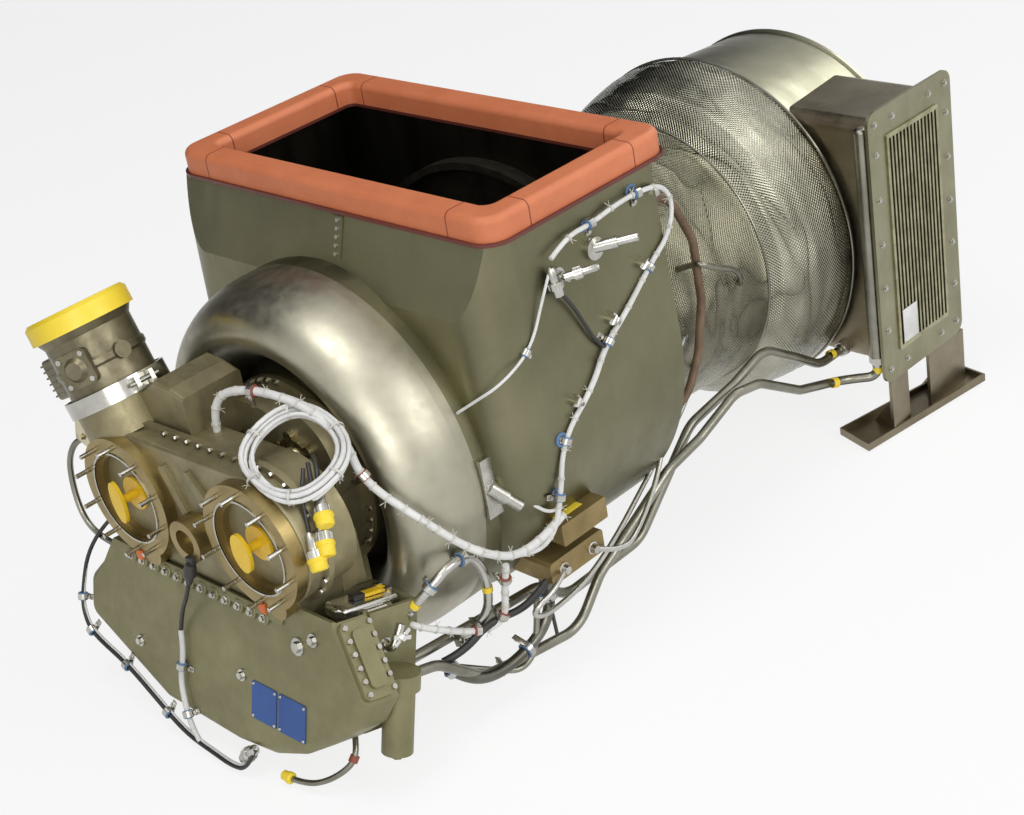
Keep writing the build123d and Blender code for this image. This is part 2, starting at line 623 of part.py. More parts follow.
nozzle_low = LINER_OUTER - 30
nozzle_hole = nozzle_bar(NOZZLE_R, nozzle_low - 50, 150)
nozzle_head = box_at((CORE_R - 0.5, NOZZLE_Y - 10, -10), (CORE_R + 5, NOZZLE_Y + 10, 10))
nozzle_head -= disc(CORE_R, NOZZLE_Y - 60, NOZZLE_Y + 60)
nozzle = nozzle_bar(NOZZLE_R - 0.1, nozzle_low, CORE_R - nozzle_low) + nozzle_bar(5, nozzle_low - 8,
                                                                                  10) + nozzle_head
nozzle_holes = around(nozzle_hole, NOZZLE_COUNT, 18)
combustor_casing -= nozzle_holes
save("combustor_casing", combustor_casing)
save("fuel_nozzles", *around(nozzle, NOZZLE_COUNT, 18))
LINER_FRONT, LINER_BACK = COMBUSTOR_FRONT + 19, BLANKET_SEAM - 12
liner = outline((LINER_OUTER, LINER_FRONT), (LINER_OUTER, LINER_BACK - 3), (CORE_IN, LINER_BACK - 3),
                (CORE_IN, LINER_BACK),
                (LINER_OUTER - 3, LINER_BACK), (LINER_OUTER - 3, LINER_FRONT + 3),
                (LINER_INNER + 3, LINER_FRONT + 3),
                (LINER_INNER + 3, LINER_BACK + 4), (LINER_INNER, LINER_BACK + 4), (LINER_INNER, LINER_FRONT))
save("combustor_liner", spun(liner) - nozzle_holes)

# Guide vanes and the casing round the turbine wheels, all set back from the seam
vane = Pos(108, BLANKET_SEAM + 7, 0) * Rot(-30, 0, 0) * Box(36, 12, 2.5)
nozzle_inner = outline((BEARING_R, BLANKET_SEAM - 9), (BEARING_R, BLANKET_SEAM + 3), (90, BLANKET_SEAM + 3),
                       (92, BLANKET_SEAM + 13), (96, BLANKET_SEAM + 13), (96, BLANKET_SEAM + 1),
                       (111, BLANKET_SEAM - 3), (111, BLANKET_SEAM - 8), (104, BLANKET_SEAM - 8))
nozzle_outer = outline((FLANGE_R, BLANKET_SEAM), (FLANGE_R, BLANKET_SEAM + 6), (128, BLANKET_SEAM + 9),
                       (125, BLANKET_SEAM + 14), (122, BLANKET_SEAM + 14), (122, BLANKET_SEAM + 1),
                       (CORE_IN - 4, BLANKET_SEAM))
turbine_nozzle = spun(nozzle_inner) + spun(nozzle_outer) + around(vane, 14)
save("turbine_nozzle", turbine_nozzle)

turbine = outline((FLANGE_R, BLANKET_SEAM + 6), (FLANGE_R, BLANKET_SEAM + 14), (134, BLANKET_SEAM + 19),
                  (134, TURBINE_OUT - 8), (150, TURBINE_OUT - 8), (150, TURBINE_OUT),
                  (TURBINE_R + 3.5, TURBINE_OUT),
                  (TURBINE_R + 3.5, BLANKET_SEAM + 14), (132, BLANKET_SEAM + 11))
turbine_casing = spun(turbine) - turbine_nozzle
save("turbine_casing", turbine_casing)

EXHAUST_R = 214.0
FLARE_END = BARREL_END - 67
LIP_Y = BARREL_END - 15
CONE_END = TURBINE_OUT + 172
duct_profile = outline((150, TURBINE_OUT), (150, TURBINE_OUT + 6), (134, TURBINE_OUT + 8),
                       (EXHAUST_R, FLARE_END),
                       (EXHAUST_R, LIP_Y), (BARREL_R - 3, LIP_Y), (BARREL_R - 3, LIP_Y + 3),
                       (EXHAUST_R - 3, LIP_Y + 3), (EXHAUST_R - 3, FLARE_END + 1),
                       (TURBINE_R + 4, TURBINE_OUT))
cone_profile = outline((0, CONE_END), (30, CONE_END - 10), (64, CONE_END - 60), (84, CONE_END - 130),
                       (88, TURBINE_OUT + 10), (85, TURBINE_OUT + 10), (81, CONE_END - 130),
                       (61, CONE_END - 61),
                       (28, CONE_END - 13), (0, CONE_END - 4))
exhaust_strut = box_at((78, TURBINE_OUT + 28, -2), (150, TURBINE_OUT + 68, 2))
exhaust = spun(duct_profile) + spun(cone_profile) + around(exhaust_strut, 4, 45)
exhaust -= spun(outline((0, TURBINE_OUT - 20), (80, TURBINE_OUT - 20), (80, CONE_END - 130),
                        (60, CONE_END - 61),
                        (27, CONE_END - 14), (0, CONE_END - 6)))
exhaust &= spun(outline((0, TURBINE_OUT - 38), (147, TURBINE_OUT - 38), (152, TURBINE_OUT + 7),
                        (EXHAUST_R + 0.5, FLARE_END), (EXHAUST_R + 0.5, LIP_Y - 1), (BARREL_R, LIP_Y - 1),
                        (BARREL_R, LIP_Y + 8), (0, LIP_Y + 8)))
save("exhaust_duct", exhaust)

BARREL_FRONT = BLANKET_RIM - 37
BARREL_ROOT_R = 290.0
barrel = outline((BARREL_ROOT_R, BARREL_FRONT), (BARREL_ROOT_R, BLANKET_RIM), (BARREL_R, BARREL_END - 7),
                 (BARREL_R + 4, BARREL_END - 5), (BARREL_R + 4, BARREL_END), (BARREL_R - 3, BARREL_END),
                 (BARREL_R - 3, BARREL_END - 11), (BARREL_ROOT_R - 3, BLANKET_RIM),
                 (BARREL_ROOT_R - 3, BARREL_FRONT))
barrel_window = box_at((150, DUCT_FRONT + 26, -160), (320, DUCT_REAR - 26, 170))
save("exhaust_barrel", spun(barrel) - barrel_window)

# Blankets: hollow shells, the front one over the casings, the rear one from the seam out to the barrel's rim
FRONT_BLANKET_R = CORE_R + FRONT_BLANKET_OUT
front_blanket = outline((CORE_R, 440), (CORE_R + 16, 440), (CORE_R + 20, 446),
                        (FRONT_BLANKET_R, BLANKET_SEAM - 6),
                        (FRONT_BLANKET_R + 3, BLANKET_SEAM), (FLANGE_R, BLANKET_SEAM),
                        (FLANGE_R, BLANKET_SEAM - 8),
                        (FRONT_BLANKET_R - 8, BLANKET_SEAM - 10), (CORE_R + 13, 448), (CORE_R, 448))
save("blanket_front", spun(front_blanket))


def bulge(share):
    """A station of the rear blanket, between its seam and its rim."""
    return BLANKET_SEAM + share * (BLANKET_RIM - BLANKET_SEAM)


rear_blanket = outline((FLANGE_R, BLANKET_SEAM), (FRONT_BLANKET_R + 3, BLANKET_SEAM), (264, bulge(0.09)),
                       (285, bulge(0.25)), (296, bulge(0.46)), (305, bulge(0.76)), (305, bulge(0.93)),
                       (REAR_BLANKET_R, BLANKET_RIM), (BARREL_ROOT_R, BLANKET_RIM),
                       (BARREL_ROOT_R, bulge(0.94)),
                       (297, bulge(0.76)), (288, bulge(0.48)), (278, bulge(0.28)), (259, bulge(0.135)),
                       (FRONT_BLANKET_R - 2, bulge(0.051)), (FLANGE_R, bulge(0.051)))
save("blanket_rear", spun(rear_blanket))

# Oil cooler
core_envelope = spun(outline((0, BARREL_FRONT), (BARREL_ROOT_R, BARREL_FRONT), (BARREL_ROOT_R, BLANKET_RIM),
                             (BARREL_R, BARREL_END - 7), (0, BARREL_END - 7)))
duct = fillet(box_at((140, DUCT_FRONT, DUCT_LOW),
                     (COOLER_X - COOLER_PLATE, DUCT_REAR, DUCT_HIGH)).edges().filter_by(Axis.X), 22)
duct_hole = box_at((130, DUCT_FRONT + 3, DUCT_LOW + 3), (COOLER_X, DUCT_REAR - 3, DUCT_HIGH - 3))
duct_hole = fillet(duct_hole.edges().filter_by(Axis.X), 19)
save("cooler_duct", duct - duct_hole - core_envelope)


def cooler_rect(front, rear, low, high, corner):
    width, height = rear - front, high - low
    return Pos((front + rear) / 2, (low + high) / 2) * RectangleRounded(width, height, corner)


def side_slab(sketch, x_from, x_to):
    """Extrude a (y, z) sketch across X."""
    return extrude(Plane(origin=(x_from, 0, 0), x_dir=(0, 1, 0), z_dir=(1, 0, 0)) * sketch,
                   amount=x_to - x_from)


PLATE_BACK = COOLER_X - COOLER_PLATE
window = cooler_rect(CORE_FRONT_Y, CORE_REAR_Y, CORE_LOW_Z, CORE_HIGH_Z, 3)
face_plate = side_slab(cooler_rect(COOLER_FRONT, COOLER_REAR, COOLER_LOW, COOLER_HIGH, 22) - window,
                       PLATE_BACK, COOLER_X)
save("cooler_plate", face_plate)
core = side_slab(window, PLATE_BACK - 44, COOLER_X + 3)
core += side_slab(cooler_rect(CORE_FRONT_Y - 8, CORE_REAR_Y + 8, CORE_LOW_Z - 8, CORE_HIGH_Z + 8, 3),
                  PLATE_BACK - 5, PLATE_BACK)
pitch = (CORE_REAR_Y - CORE_FRONT_Y - 8) / CORE_GROOVES
for k in range(CORE_GROOVES):
    y = CORE_FRONT_Y + 4 + pitch * (k + 0.5)
    core -= box_at((COOLER_X - 9, y - pitch * 0.28, CORE_LOW_Z + 8),
                   (COOLER_X + 4, y + pitch * 0.28, CORE_HIGH_Z - 8))
save("cooler_core", core)

HEADER_X, HEADER_Y, HEADER_R = 339.0, 893.0, 12.5
header = extrude(Plane.XY.offset(-190) * Pos(HEADER_X, HEADER_Y) * Circle(HEADER_R), amount=418)
header = fillet(header.edges().group_by(Axis.Z)[-1], 8)
header += [box_at((HEADER_X - 8, HEADER_Y, z - 9), (HEADER_X + 8, DUCT_FRONT, z + 9))
           for z in (-150, 20, 190)]
save("cooler_header", header)

foot = Polygon((275, 856), (352, 832), (392, 1140), (331, 1150), align=None)
skid = extrude(Plane.XY.offset(SKID_BASE) * foot, amount=4)
skid += extrude(Plane.XY.offset(SKID_BASE) * (foot - offset(foot, -4, kind=Kind.INTERSECTION)), amount=14)
for y_from, y_to in ((900, 950), (1015, 1125)):
    skid += box_at((COOLER_X - 6, y_from, SKID_BASE), (COOLER_X, y_to, COOLER_LOW))
    skid += extrude(Plane(origin=(0, (y_from + y_to) / 2 + 2, 0), x_dir=(1, 0, 0), z_dir=(0, -1, 0))
                    * outline((COOLER_X - 60, SKID_BASE), (COOLER_X, SKID_BASE),
                              (COOLER_X, SKID_BASE + 80)), amount=4)
save("skid_bracket", skid)

# Air outlet valve
tilt = radians(VALVE_TILT)
VALVE = Plane(origin=(VALVE_X, VALVE_Y, VALVE_Z), x_dir=(cos(tilt), 0, sin(tilt)),
              z_dir=(-sin(tilt), 0, cos(tilt)))


def valve_spun(*points):
    """Turn a (radius, height) profile about the valve's own axis."""
    return VALVE.location * revolve(Plane.XZ * outline(*points), axis=Axis.Z)


def valve_round(radius, low, high, x=0, y=0):
    return VALVE.location * (Pos(x, y, low) * Cylinder(radius, high - low,
                                                       align=STANDING))


def valve_cross(radius, x_from, x_to):
    """A cylinder along the disc's shaft."""
    bar = Pos(x_from, 0, DISC_HEIGHT) * Rot(0, 90, 0) * Cylinder(radius, x_to - x_from,
                                                                 align=(Align.CENTER, Align.CENTER,
                                                                        Align.MIN))
    return VALVE.location * bar


body = valve_spun((VALVE_BORE_R, 0), (74, 0), (74, 8), (VALVE_R, 12), (VALVE_R, 44), (71, 48), (71, 56),
                  (VALVE_R, 60),
                  (VALVE_R, 96), (76, 110), (76, 118), (VALVE_BORE_R, 118))
body += valve_cross(13, -80, -VALVE_BORE_R - 2) + valve_cross(13, VALVE_BORE_R + 2, 76)
port_angle = radians(-58.6)
port_seat = Plane(origin=(*polar(66, -58.6), 54), x_dir=(-sin(port_angle), cos(port_angle), 0),
                  z_dir=(*polar(1, -58.6), 0))
port_plane = Plane(VALVE.location * port_seat.location)
port_block = extrude(port_plane * RectangleRounded(54, 54, 8), amount=9)
port_dome = port_plane.location * Pos(0, 0, 9) * Cone(19, 13, 7,
                                                      align=STANDING)
body += port_block + port_dome
body -= valve_round(VALVE_BORE_R, -1, 119)
body -= valve_cross(DISC_SHAFT_R + RUN, -90, 70)
save("valve_body", body)
port_screws = [port_plane.location * Pos(x, y, 9) * Cylinder(4, 3,
                                                             align=STANDING)
               for x in (-20, 20) for y in (-20, 20)]
valve_cap = valve_spun((0, 118), (76.0, 118), (76.0, 108), (CAP_R, 108), (CAP_R, 134), (CAP_R - 6, 140),
                       (0, 140))
save("valve_cap", valve_cap)
flap = valve_round(VALVE_BORE_R - 0.4, DISC_HEIGHT - DISC_THICK / 2, DISC_HEIGHT + DISC_THICK / 2)
flap += valve_cross(DISC_SHAFT_R, -100, 69)
save("valve_disc", flap)
actuator = VALVE.location * fillet((Pos(-104, 4, 50) * Box(47, 70, 66)).edges().filter_by(Axis.X), 6)
actuator += [VALVE.location * (Pos(-104, 4, z) * Box(51, 76, 3)) for z in (26, 36, 46, 56, 66, 76)]
actuator -= valve_cross(DISC_SHAFT_R + RUN, -106, -60)
actuator -= body
save("valve_actuator", actuator)
clamp = valve_spun((74, -8.5), (72.2, -8.5), (72.2, -VBAND_WIDTH / 2), (VBAND_R, -VBAND_WIDTH / 2),
                   (VBAND_R, VBAND_WIDTH / 2), (75.3, VBAND_WIDTH / 2),
                   (75.3, 8.5), (74, 8.5))
for turn in (0, 180):
    lugs = Rot(0, 0, turn) * (Pos(VBAND_R + 7, -13, 0) * Box(18, 7, 20)
                              + Pos(VBAND_R + 7, 13, 0) * Box(18, 7, 20))
    tee_bolt = Rot(0, 0, turn) * (Pos(VBAND_R + 9, -24, 0) * Rot(-90, 0, 0) * Cylinder(3.5, 50, align=STANDING))
    clamp += VALVE.location * lugs + VALVE.location * tee_bolt
clamp -= valve_round(74, -8.5, 8.5)
clamp -= body
save("v_band_clamp", clamp)

web = slab(outline((-262, 96), (-258, 117), (-128, 177), (-98, 200), (-60, 197), (-30, 189), (-30, 96)),
           -236, -130)
web = fillet([e for e in web.edges() if e.center().Z > 180 and abs(e.center().Y + 183) > 10], 6)
elbow = web + valve_round(72, -62, -8) + valve_round(74, -8.4, 0)
elbow -= valve_round(VALVE_BORE_R, -14, 1)
elbow -= case_solid
elbow -= pad_left
save("elbow_duct", elbow)

# Sump in the oil frame
FLANK_TOP = (TOWER_RIGHT - 8, TOWER_TOP)
FLANK_FOOT = (335, -240)
front_outline = outline((-262, -186), (-318, -245), (-318, -308), (-114, -386), (60, -392), (143, -384),
                        (207, -361),
                        (260, -327), (310, -287), FLANK_FOOT, FLANK_TOP, (TOWER_LEFT, TOWER_TOP),
                        (160, -100), (-215, -100))
low_corners = [v for v in front_outline.vertices() if v.Y < -200 and v.X < FLANK_FOOT[0] - 5]
front_outline = fillet(low_corners, SUMP_CORNER)
block_outline = outline((-230, -100), (-230, -330), (-114, -378), (60, -385), (143, -377), (207, -354),
                        (TOWER_RIGHT, -320), (TOWER_RIGHT, TOWER_TOP), (TOWER_LEFT, TOWER_TOP), (160, -100))
sump_outer = oil_slab(front_outline, SUMP_FACE, SUMP_STEP) + oil_slab(block_outline, SUMP_STEP - 1, SUMP_BACK)
sump_outer = fillet([e for e in sump_outer.edges() if abs(OIL.to_local_coords(e.center()).Y
                                                          - SUMP_FACE) < 0.01
                     and OIL.to_local_coords(e.center()).Z < -200], SUMP_EDGE)
above_case = box_at((-400, -400, CASE_BOTTOM), (162, 100, 100))
sump = sump_outer - above_case
cavity = oil_slab(offset(block_outline, -SUMP_WALL - 2), SUMP_FACE + SUMP_WALL + 2, SUMP_BACK - SUMP_WALL)
cavity &= box_at((-400, -400, -500), (150, 100, CASE_BOTTOM - 12))
pump_block = box_at((-64, -268, -176), (64, -178, CASE_BOTTOM))
sump -= cavity - pump_block
sump -= disc(PUMP_WELL_R, GEAR_FRONT_Y - 6, GEAR_BACK + 6, *PUMP)
sump -= disc(STUB_R + RUN, PUMP_FRONT - 1, PUMP_BACK + 1, *PUMP)
pocket = oil_box((TOWER_LEFT + POCKET_WALL, SUMP_FACE + POCKET_WALL, TOWER_TOP - POCKET_DEPTH),
                 (TOWER_RIGHT - POCKET_WALL, SUMP_BACK - POCKET_WALL, TOWER_TOP + 60))
sump -= pocket
POCKET_FLOOR = TOWER_TOP - POCKET_DEPTH
cap_sketch = Rot(0, 0, 90) * SlotOverall(CAP_LENGTH, CAP_WIDTH)


def cap_slab(sketch, low, high):
    plane = Plane(origin=OIL.from_local_coords((CAP_X, CAP_MID, low)), x_dir=(1, 0, 0), z_dir=OIL.z_dir)
    return extrude(plane * sketch, amount=high - low)


SEAT_TOP = POCKET_FLOOR + SEAT_HEIGHT
CAP_TOP = SEAT_TOP + CAP_THICK
HINGE_X, HINGE_Z = CAP_X + CAP_WIDTH / 2 + 5, SEAT_TOP + 6
sump += cap_slab(offset(cap_sketch, -4), POCKET_FLOOR - 1, SEAT_TOP)


def hinge_bar(radius, y_from, y_to, x=HINGE_X, z=HINGE_Z):
    plane = Plane(origin=OIL.from_local_coords((x, y_from, z)), x_dir=(1, 0, 0), z_dir=OIL.y_dir)
    return extrude(plane * Circle(radius), amount=y_to - y_from)


HINGE_FROM, HINGE_TO = CAP_MID - 18, CAP_MID + 18
for y_from in (HINGE_FROM - 9, HINGE_TO + 1):
    lug = hinge_bar(5, y_from, y_from + 8) + oil_box((HINGE_X - 5, y_from, POCKET_FLOOR - 1),
                                                     (HINGE_X + 5, y_from + 8, HINGE_Z))
    sump += lug - hinge_bar(3 + RUN, y_from - 1, y_from + 9)
sump -= case_solid
sump -= pad_left
sump -= pad_right
sump = sump.solids().sort_by(SortBy.VOLUME)[-1]
save("sump_housing", sump)

filler_cap = cap_slab(cap_sketch, SEAT_TOP + RUN, CAP_TOP)
barrel_bar = hinge_bar(5, HINGE_FROM, HINGE_TO)
arm = oil_box((HINGE_X - 8, HINGE_FROM, HINGE_Z - 4), (HINGE_X, HINGE_TO, HINGE_Z + 4))
filler_cap += barrel_bar + arm + hinge_bar(3, HINGE_FROM - 8, HINGE_TO + 8)
LEVER_Y, LEVER_Z = CAP_MID + 38, CAP_TOP + 8
LEVER_LENGTH = 54.0
for x in (CAP_X - 13, CAP_X + 7):
    filler_cap += oil_box((x, LEVER_Y - 6, CAP_TOP - 1), (x + 6, LEVER_Y + 6, LEVER_Z + 5))


def lever_bar(radius, x_from, x_to):
    plane = Plane(origin=OIL.from_local_coords((x_from, LEVER_Y, LEVER_Z)), x_dir=OIL.y_dir, z_dir=(1, 0, 0))
    return extrude(plane * Circle(radius), amount=x_to - x_from)


filler_cap -= lever_bar(2.5 + RUN, CAP_X - 14, CAP_X + 14)
save("filler_cap", filler_cap)
lever = lever_bar(2.5, CAP_X - 12, CAP_X + 12) + lever_bar(5, CAP_X - 6, CAP_X + 6)
lever += oil_box((CAP_X - 6, LEVER_Y - LEVER_LENGTH, LEVER_Z - 2), (CAP_X + 6, LEVER_Y, LEVER_Z + 3))
save("filler_lever", lever)

# Sump side cover on the slanted flank
flank_from, flank_to = Vector(FLANK_FOOT[0], 0, FLANK_FOOT[1]), Vector(FLANK_TOP[0], 0, FLANK_TOP[1])
flank_dir = (flank_to - flank_from).normalized()
flank_mid = (flank_from + flank_to) * 0.5
flank_seat = Plane(origin=(flank_mid.X, (SUMP_FACE + SUMP_STEP) / 2, flank_mid.Z), x_dir=flank_dir,
                   z_dir=(flank_dir.Z, 0, -flank_dir.X))
FLANK = Plane(OIL.location * flank_seat.location)
side_cover = extrude(FLANK * RectangleRounded(112, 56, 10), amount=8)
side_cover += extrude(FLANK.offset(8) * RectangleRounded(84, 30, 8), amount=5)
save("sump_side_cover", side_cover)
cover_spots = [(x, y) for x in (-48, -29, -10, 10, 29, 48) for y in (-22, 22)]
cover_bolts = [extrude(FLANK.offset(8) * Pos(x, y) * RegularPolygon(4.2, 6), amount=BOLT_HEAD) for x,
               y in cover_spots]


def oil_round(radius, low, high, x, y):
    plane = Plane(origin=OIL.from_local_coords((x, y, low)), x_dir=(1, 0, 0), z_dir=OIL.z_dir)
    return extrude(plane * Circle(radius), amount=high - low)


bowl = oil_round(BOWL_R, BOWL_BOTTOM, BOWL_TOP, BOWL_X, BOWL_MID) + oil_round(BOWL_R + 7, BOWL_TOP,
                                                                              BOWL_TOP + 26, BOWL_X, BOWL_MID)
bowl += oil_box((BOWL_X - 20, SUMP_STEP, BOWL_TOP), (BOWL_X + 20, BOWL_MID, BOWL_TOP + 26))
bowl_hex = Plane(origin=OIL.from_local_coords((BOWL_X, BOWL_MID, BOWL_BOTTOM - 10)), x_dir=(1, 0, 0),
                 z_dir=OIL.z_dir)
bowl += extrude(bowl_hex * RegularPolygon(8, 6), amount=11)
bowl -= sump
save("filter_bowl", bowl)


def oil_front(sketch, depth, x, up):
    """Set a sketch on the sump's front face."""
    plane = Plane(origin=OIL.from_local_coords((x, SUMP_FACE, up)), x_dir=(1, 0, 0), z_dir=-OIL.y_dir)
    return extrude(plane * sketch, amount=depth)


plugs = []
for x, up, radius in ((-177, -311, 9), (72, -282, 9), (196, -196, 13), (228, -176, 10)):
    plugs.append(oil_front(Circle(radius), 3, x, up) + oil_front(RegularPolygon(radius * 0.62, 6), 8, x, up))
save("sump_plugs", *plugs)
save("data_plates", oil_front(RectangleRounded(56, 58, 3), 1.5, 123, -310),
     oil_front(RectangleRounded(60, 58, 3), 1.5, 185.5, -310))

# Shipping plugs over the splines of the generator gears
plug_set = []
for spot, grip in ((LEFT, Ellipse(15, 34)), (RIGHT, Ellipse(19, 30))):
    plug = disc(27, CASE_FRONT - 4, CASE_FRONT, *spot) + disc(7, CASE_FRONT - 30, CASE_FRONT - 3, *spot)
    plug += slab(Pos(*spot) * Rot(0, 0, 8) * grip, CASE_FRONT - 36, CASE_FRONT - 30)
    plug_set.append(plug)
save("shipping_plugs", *plug_set)

# Oil tubes, fuel line, hose and harness
supply_line = [(298, -200, -188), (298, -140, -206), (290, -56, -284), (290, 7, -298), (290, 148, -322),
               (290, 210, -258), (290, 392, -167),
               (290, 474, -152), (290, 571, -118), (290, 636, -130), (290, 737, -193), (290, 850, -229),
               (339, 893, -229),
               (339, 893, -190)]
return_line = [(260, -166, -200), (260, 3, -219), (260, 110, -230), (260, 160, -279), (260, 337, -276),
               (260, 488, -142),
               (260, 608, -124), (260, 690, -100), (260, 775, -156), (260, 835, -198), (260, 908, -198)]
tubes = [pipe(supply_line, OIL_TUBE_R, 60) - bowl, pipe(return_line, OIL_TUBE_R, 60) - sump]
save("oil_tubes", *tubes)
bleed_line = [(230, PLENUM_REAR, 251), (230, 470, 251), (232, 534, 236), (244, 566, 150), (247, 566, 45),
              (246, 545, -40),
              (245, 506, -108), (245, PLENUM_REAR, -108)]
save("bleed_hose", pipe(bleed_line, HOSE_R, 60))
main_run = [(-10, -205, 127), (-10, -202, 184), (61, -178, 203), (150, -158, 188), (214, -150, 150),
            (226, -148, 84),
            (300, -119, 28), (337, -56, -56), (347, 27, -100), (350, 100, -68), (367, 103, -5),
            (371, 108, 58), (369, 164, 109),
            (366, 219, 156), (365, 287, 212), (363, 380, 258), (352, 424, 266), (300, 424, 268),
            (300, PLENUM_REAR, 268)]
main_harness = pipe(main_run, HARNESS_R, 40) - case_solid
coil_place = Plane(origin=(108, -167, 92), x_dir=(1, 0, 0), z_dir=(0, -1, 0))
coil = coil_place.location * Torus(64, 9)
branch_run = [(342, -18, -92), (322, -12, -142), (316, -14, -195), (300, -50, -206), (290, -150, -140),
              (TOWER_RIGHT - 1, -150, -140)]
branch = pipe(branch_run, BRANCH_R, 30) - main_harness - sump
print("cord radii", [round(r, 1) for r in cord_radii(main_run)],
      [round(r, 1) for r in cord_radii(branch_run)])
save("wiring_harness", main_harness, coil - cover, branch)

clamp_spots = [(369, 150, 97), (366, 250, 181), (365, 330, 234)]
standoffs = []
for x, y, z in clamp_spots:
    stand = side_slab(Pos(y, z) * Circle(9), 340, x + 2) - plenum_outer - main_harness
    standoffs.append(stand.solids().sort_by(Axis.X)[0])
save("harness_clamps", *standoffs)

# Ignition box below, sensor box above it, both seated on the plenum's round side
ignition_box = fillet(box_at((250, 70, -184), (335, 186, -146)).edges().filter_by(Axis.X), 6)
sensor_box = fillet(box_at((285, 92, -122), (350, 188, -86)).edges().filter_by(Axis.X), 3)
save("control_boxes", ignition_box - plenum_outer, sensor_box - plenum_outer)


def probe(foot, tip, radius, foot_radius):
    """A round sensor standing off the plenum's side on a flanged foot."""
    start, line = Vector(*foot), Vector(*tip) - Vector(*foot)
    body = extrude(Plane(origin=start, z_dir=line) * Circle(radius), amount=line.length)
    body += extrude(Plane(origin=start, z_dir=line) * Circle(radius + 2.5), amount=line.length * 0.55)
    body += side_slab(Pos(foot[1], foot[2]) * Circle(foot_radius), foot[0] - 4, NECK_HALF_X + 12)
    return (body - plenum_outer).solids().sort_by(SortBy.VOLUME)[-1]


bracket = box_at((280, 2, -40), (303, 32, 56))
barrel_line = Plane(origin=(300, 14, 8), z_dir=(25, 30, -40))
bracket += extrude(barrel_line * Circle(9), amount=56) + extrude(barrel_line * Circle(12), amount=30)
bracket = (bracket - plenum_outer).solids().sort_by(SortBy.VOLUME)[-1]
save("sensors", bracket, probe((345, 243, 293), (398, 283, 304), 6.5, 17),
     probe((345, 163, 286), (372, 163, 286), 5, 12))

save("fasteners", *case_bolts, *ring_bolts, *cover_bolts, *rivets, *port_screws)
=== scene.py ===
# %% [markdown]
# # An auxiliary power unit, finished in Blender
# The small gas turbine in an airliner's tail makes electricity and compressed air on the ground.
# Its solids come packed from the CAD part, in metres, with every piece already in its place.
# This lesson films them: it sets up a camera and soft light, gives each solid the finish of the real
# material, and adds what a solid model leaves out, such as cables, ties, foil wraps and small screws.

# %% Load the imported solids
import math
import random
import bmesh
import bpy
from mathutils import Matrix, Vector, noise


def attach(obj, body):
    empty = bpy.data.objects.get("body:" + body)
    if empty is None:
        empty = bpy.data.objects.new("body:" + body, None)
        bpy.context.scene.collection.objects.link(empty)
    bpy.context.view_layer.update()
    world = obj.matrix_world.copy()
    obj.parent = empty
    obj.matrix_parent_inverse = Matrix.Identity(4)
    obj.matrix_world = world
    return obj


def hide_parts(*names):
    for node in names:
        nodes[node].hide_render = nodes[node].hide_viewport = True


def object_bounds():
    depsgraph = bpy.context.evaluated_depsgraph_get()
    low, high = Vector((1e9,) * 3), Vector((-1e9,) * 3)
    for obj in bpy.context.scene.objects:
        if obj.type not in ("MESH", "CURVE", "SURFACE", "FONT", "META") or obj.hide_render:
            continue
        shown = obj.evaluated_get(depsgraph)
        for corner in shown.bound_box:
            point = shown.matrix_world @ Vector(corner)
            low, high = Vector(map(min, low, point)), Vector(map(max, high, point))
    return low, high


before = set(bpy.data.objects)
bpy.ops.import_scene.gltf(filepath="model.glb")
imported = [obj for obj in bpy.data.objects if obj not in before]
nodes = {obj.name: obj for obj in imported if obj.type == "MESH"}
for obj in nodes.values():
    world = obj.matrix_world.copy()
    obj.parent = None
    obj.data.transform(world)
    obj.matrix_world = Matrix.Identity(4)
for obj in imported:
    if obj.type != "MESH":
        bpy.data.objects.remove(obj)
cad_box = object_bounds()

# %% [markdown]
# The camera was worked out from the photograph once: the straight edges of the intake mouth, the round
# seams and the cooler's corners give its place, its three directions and its focal length. A camera's
# matrix holds right, up and backwards as columns, so the three directions are all it needs.

# %% Camera
MM = 0.001
RIGHT_WAY = Vector((0.71325, 0.68372, -0.15432))
UP_WAY = Vector((-0.22944, 0.43579, 0.87031))
VIEW_WAY = Vector((-0.66230, 0.58534, -0.46770))
CAMERA_SPOT = Vector((2115.3, -1522.0, 1385.8)) * MM
FOCAL_PIXELS, FRAME_WIDTH, SENSOR = 1935.78, 1024, 36.0


def placed(name, data):
    """Put new data into the scene as an object."""
    made = bpy.data.objects.new(name, data)
    bpy.context.scene.collection.objects.link(made)
    return made


eye = bpy.data.cameras.new("eye")
eye.sensor_width = SENSOR
eye.lens = SENSOR * FOCAL_PIXELS / FRAME_WIDTH
camera = placed("camera", eye)
axes = Matrix((RIGHT_WAY, UP_WAY, -VIEW_WAY)).transposed().to_4x4()
camera.matrix_world = Matrix.Translation(CAMERA_SPOT) @ axes
bpy.context.scene.camera = camera
print("lens", round(eye.lens, 2), "mm")

# %% [markdown]
# A studio for metal is mostly white surroundings, because metal shows what stands around it. The floor
# is one wide sheet. For rays from the camera, and for mirrored rays, part of its colour is its own
# white glow, so it reads as white paper while its plain part still takes the soft shadow.
# A shader is a small network, so two helpers build it: one adds a node whose inputs are values or other
# nodes' sockets, the other does one sum.

# %% Floor and surroundings
FLOOR_GAP, FLOOR_HALF = 0.004, 14
FLOOR_Z = cad_box[0][2] - FLOOR_GAP
GLOW_SHARE = 0.82
WHITE = {"Color": (1, 1, 1, 1), "Strength": 1.0}
bpy.context.scene.view_settings.view_transform = "Standard"


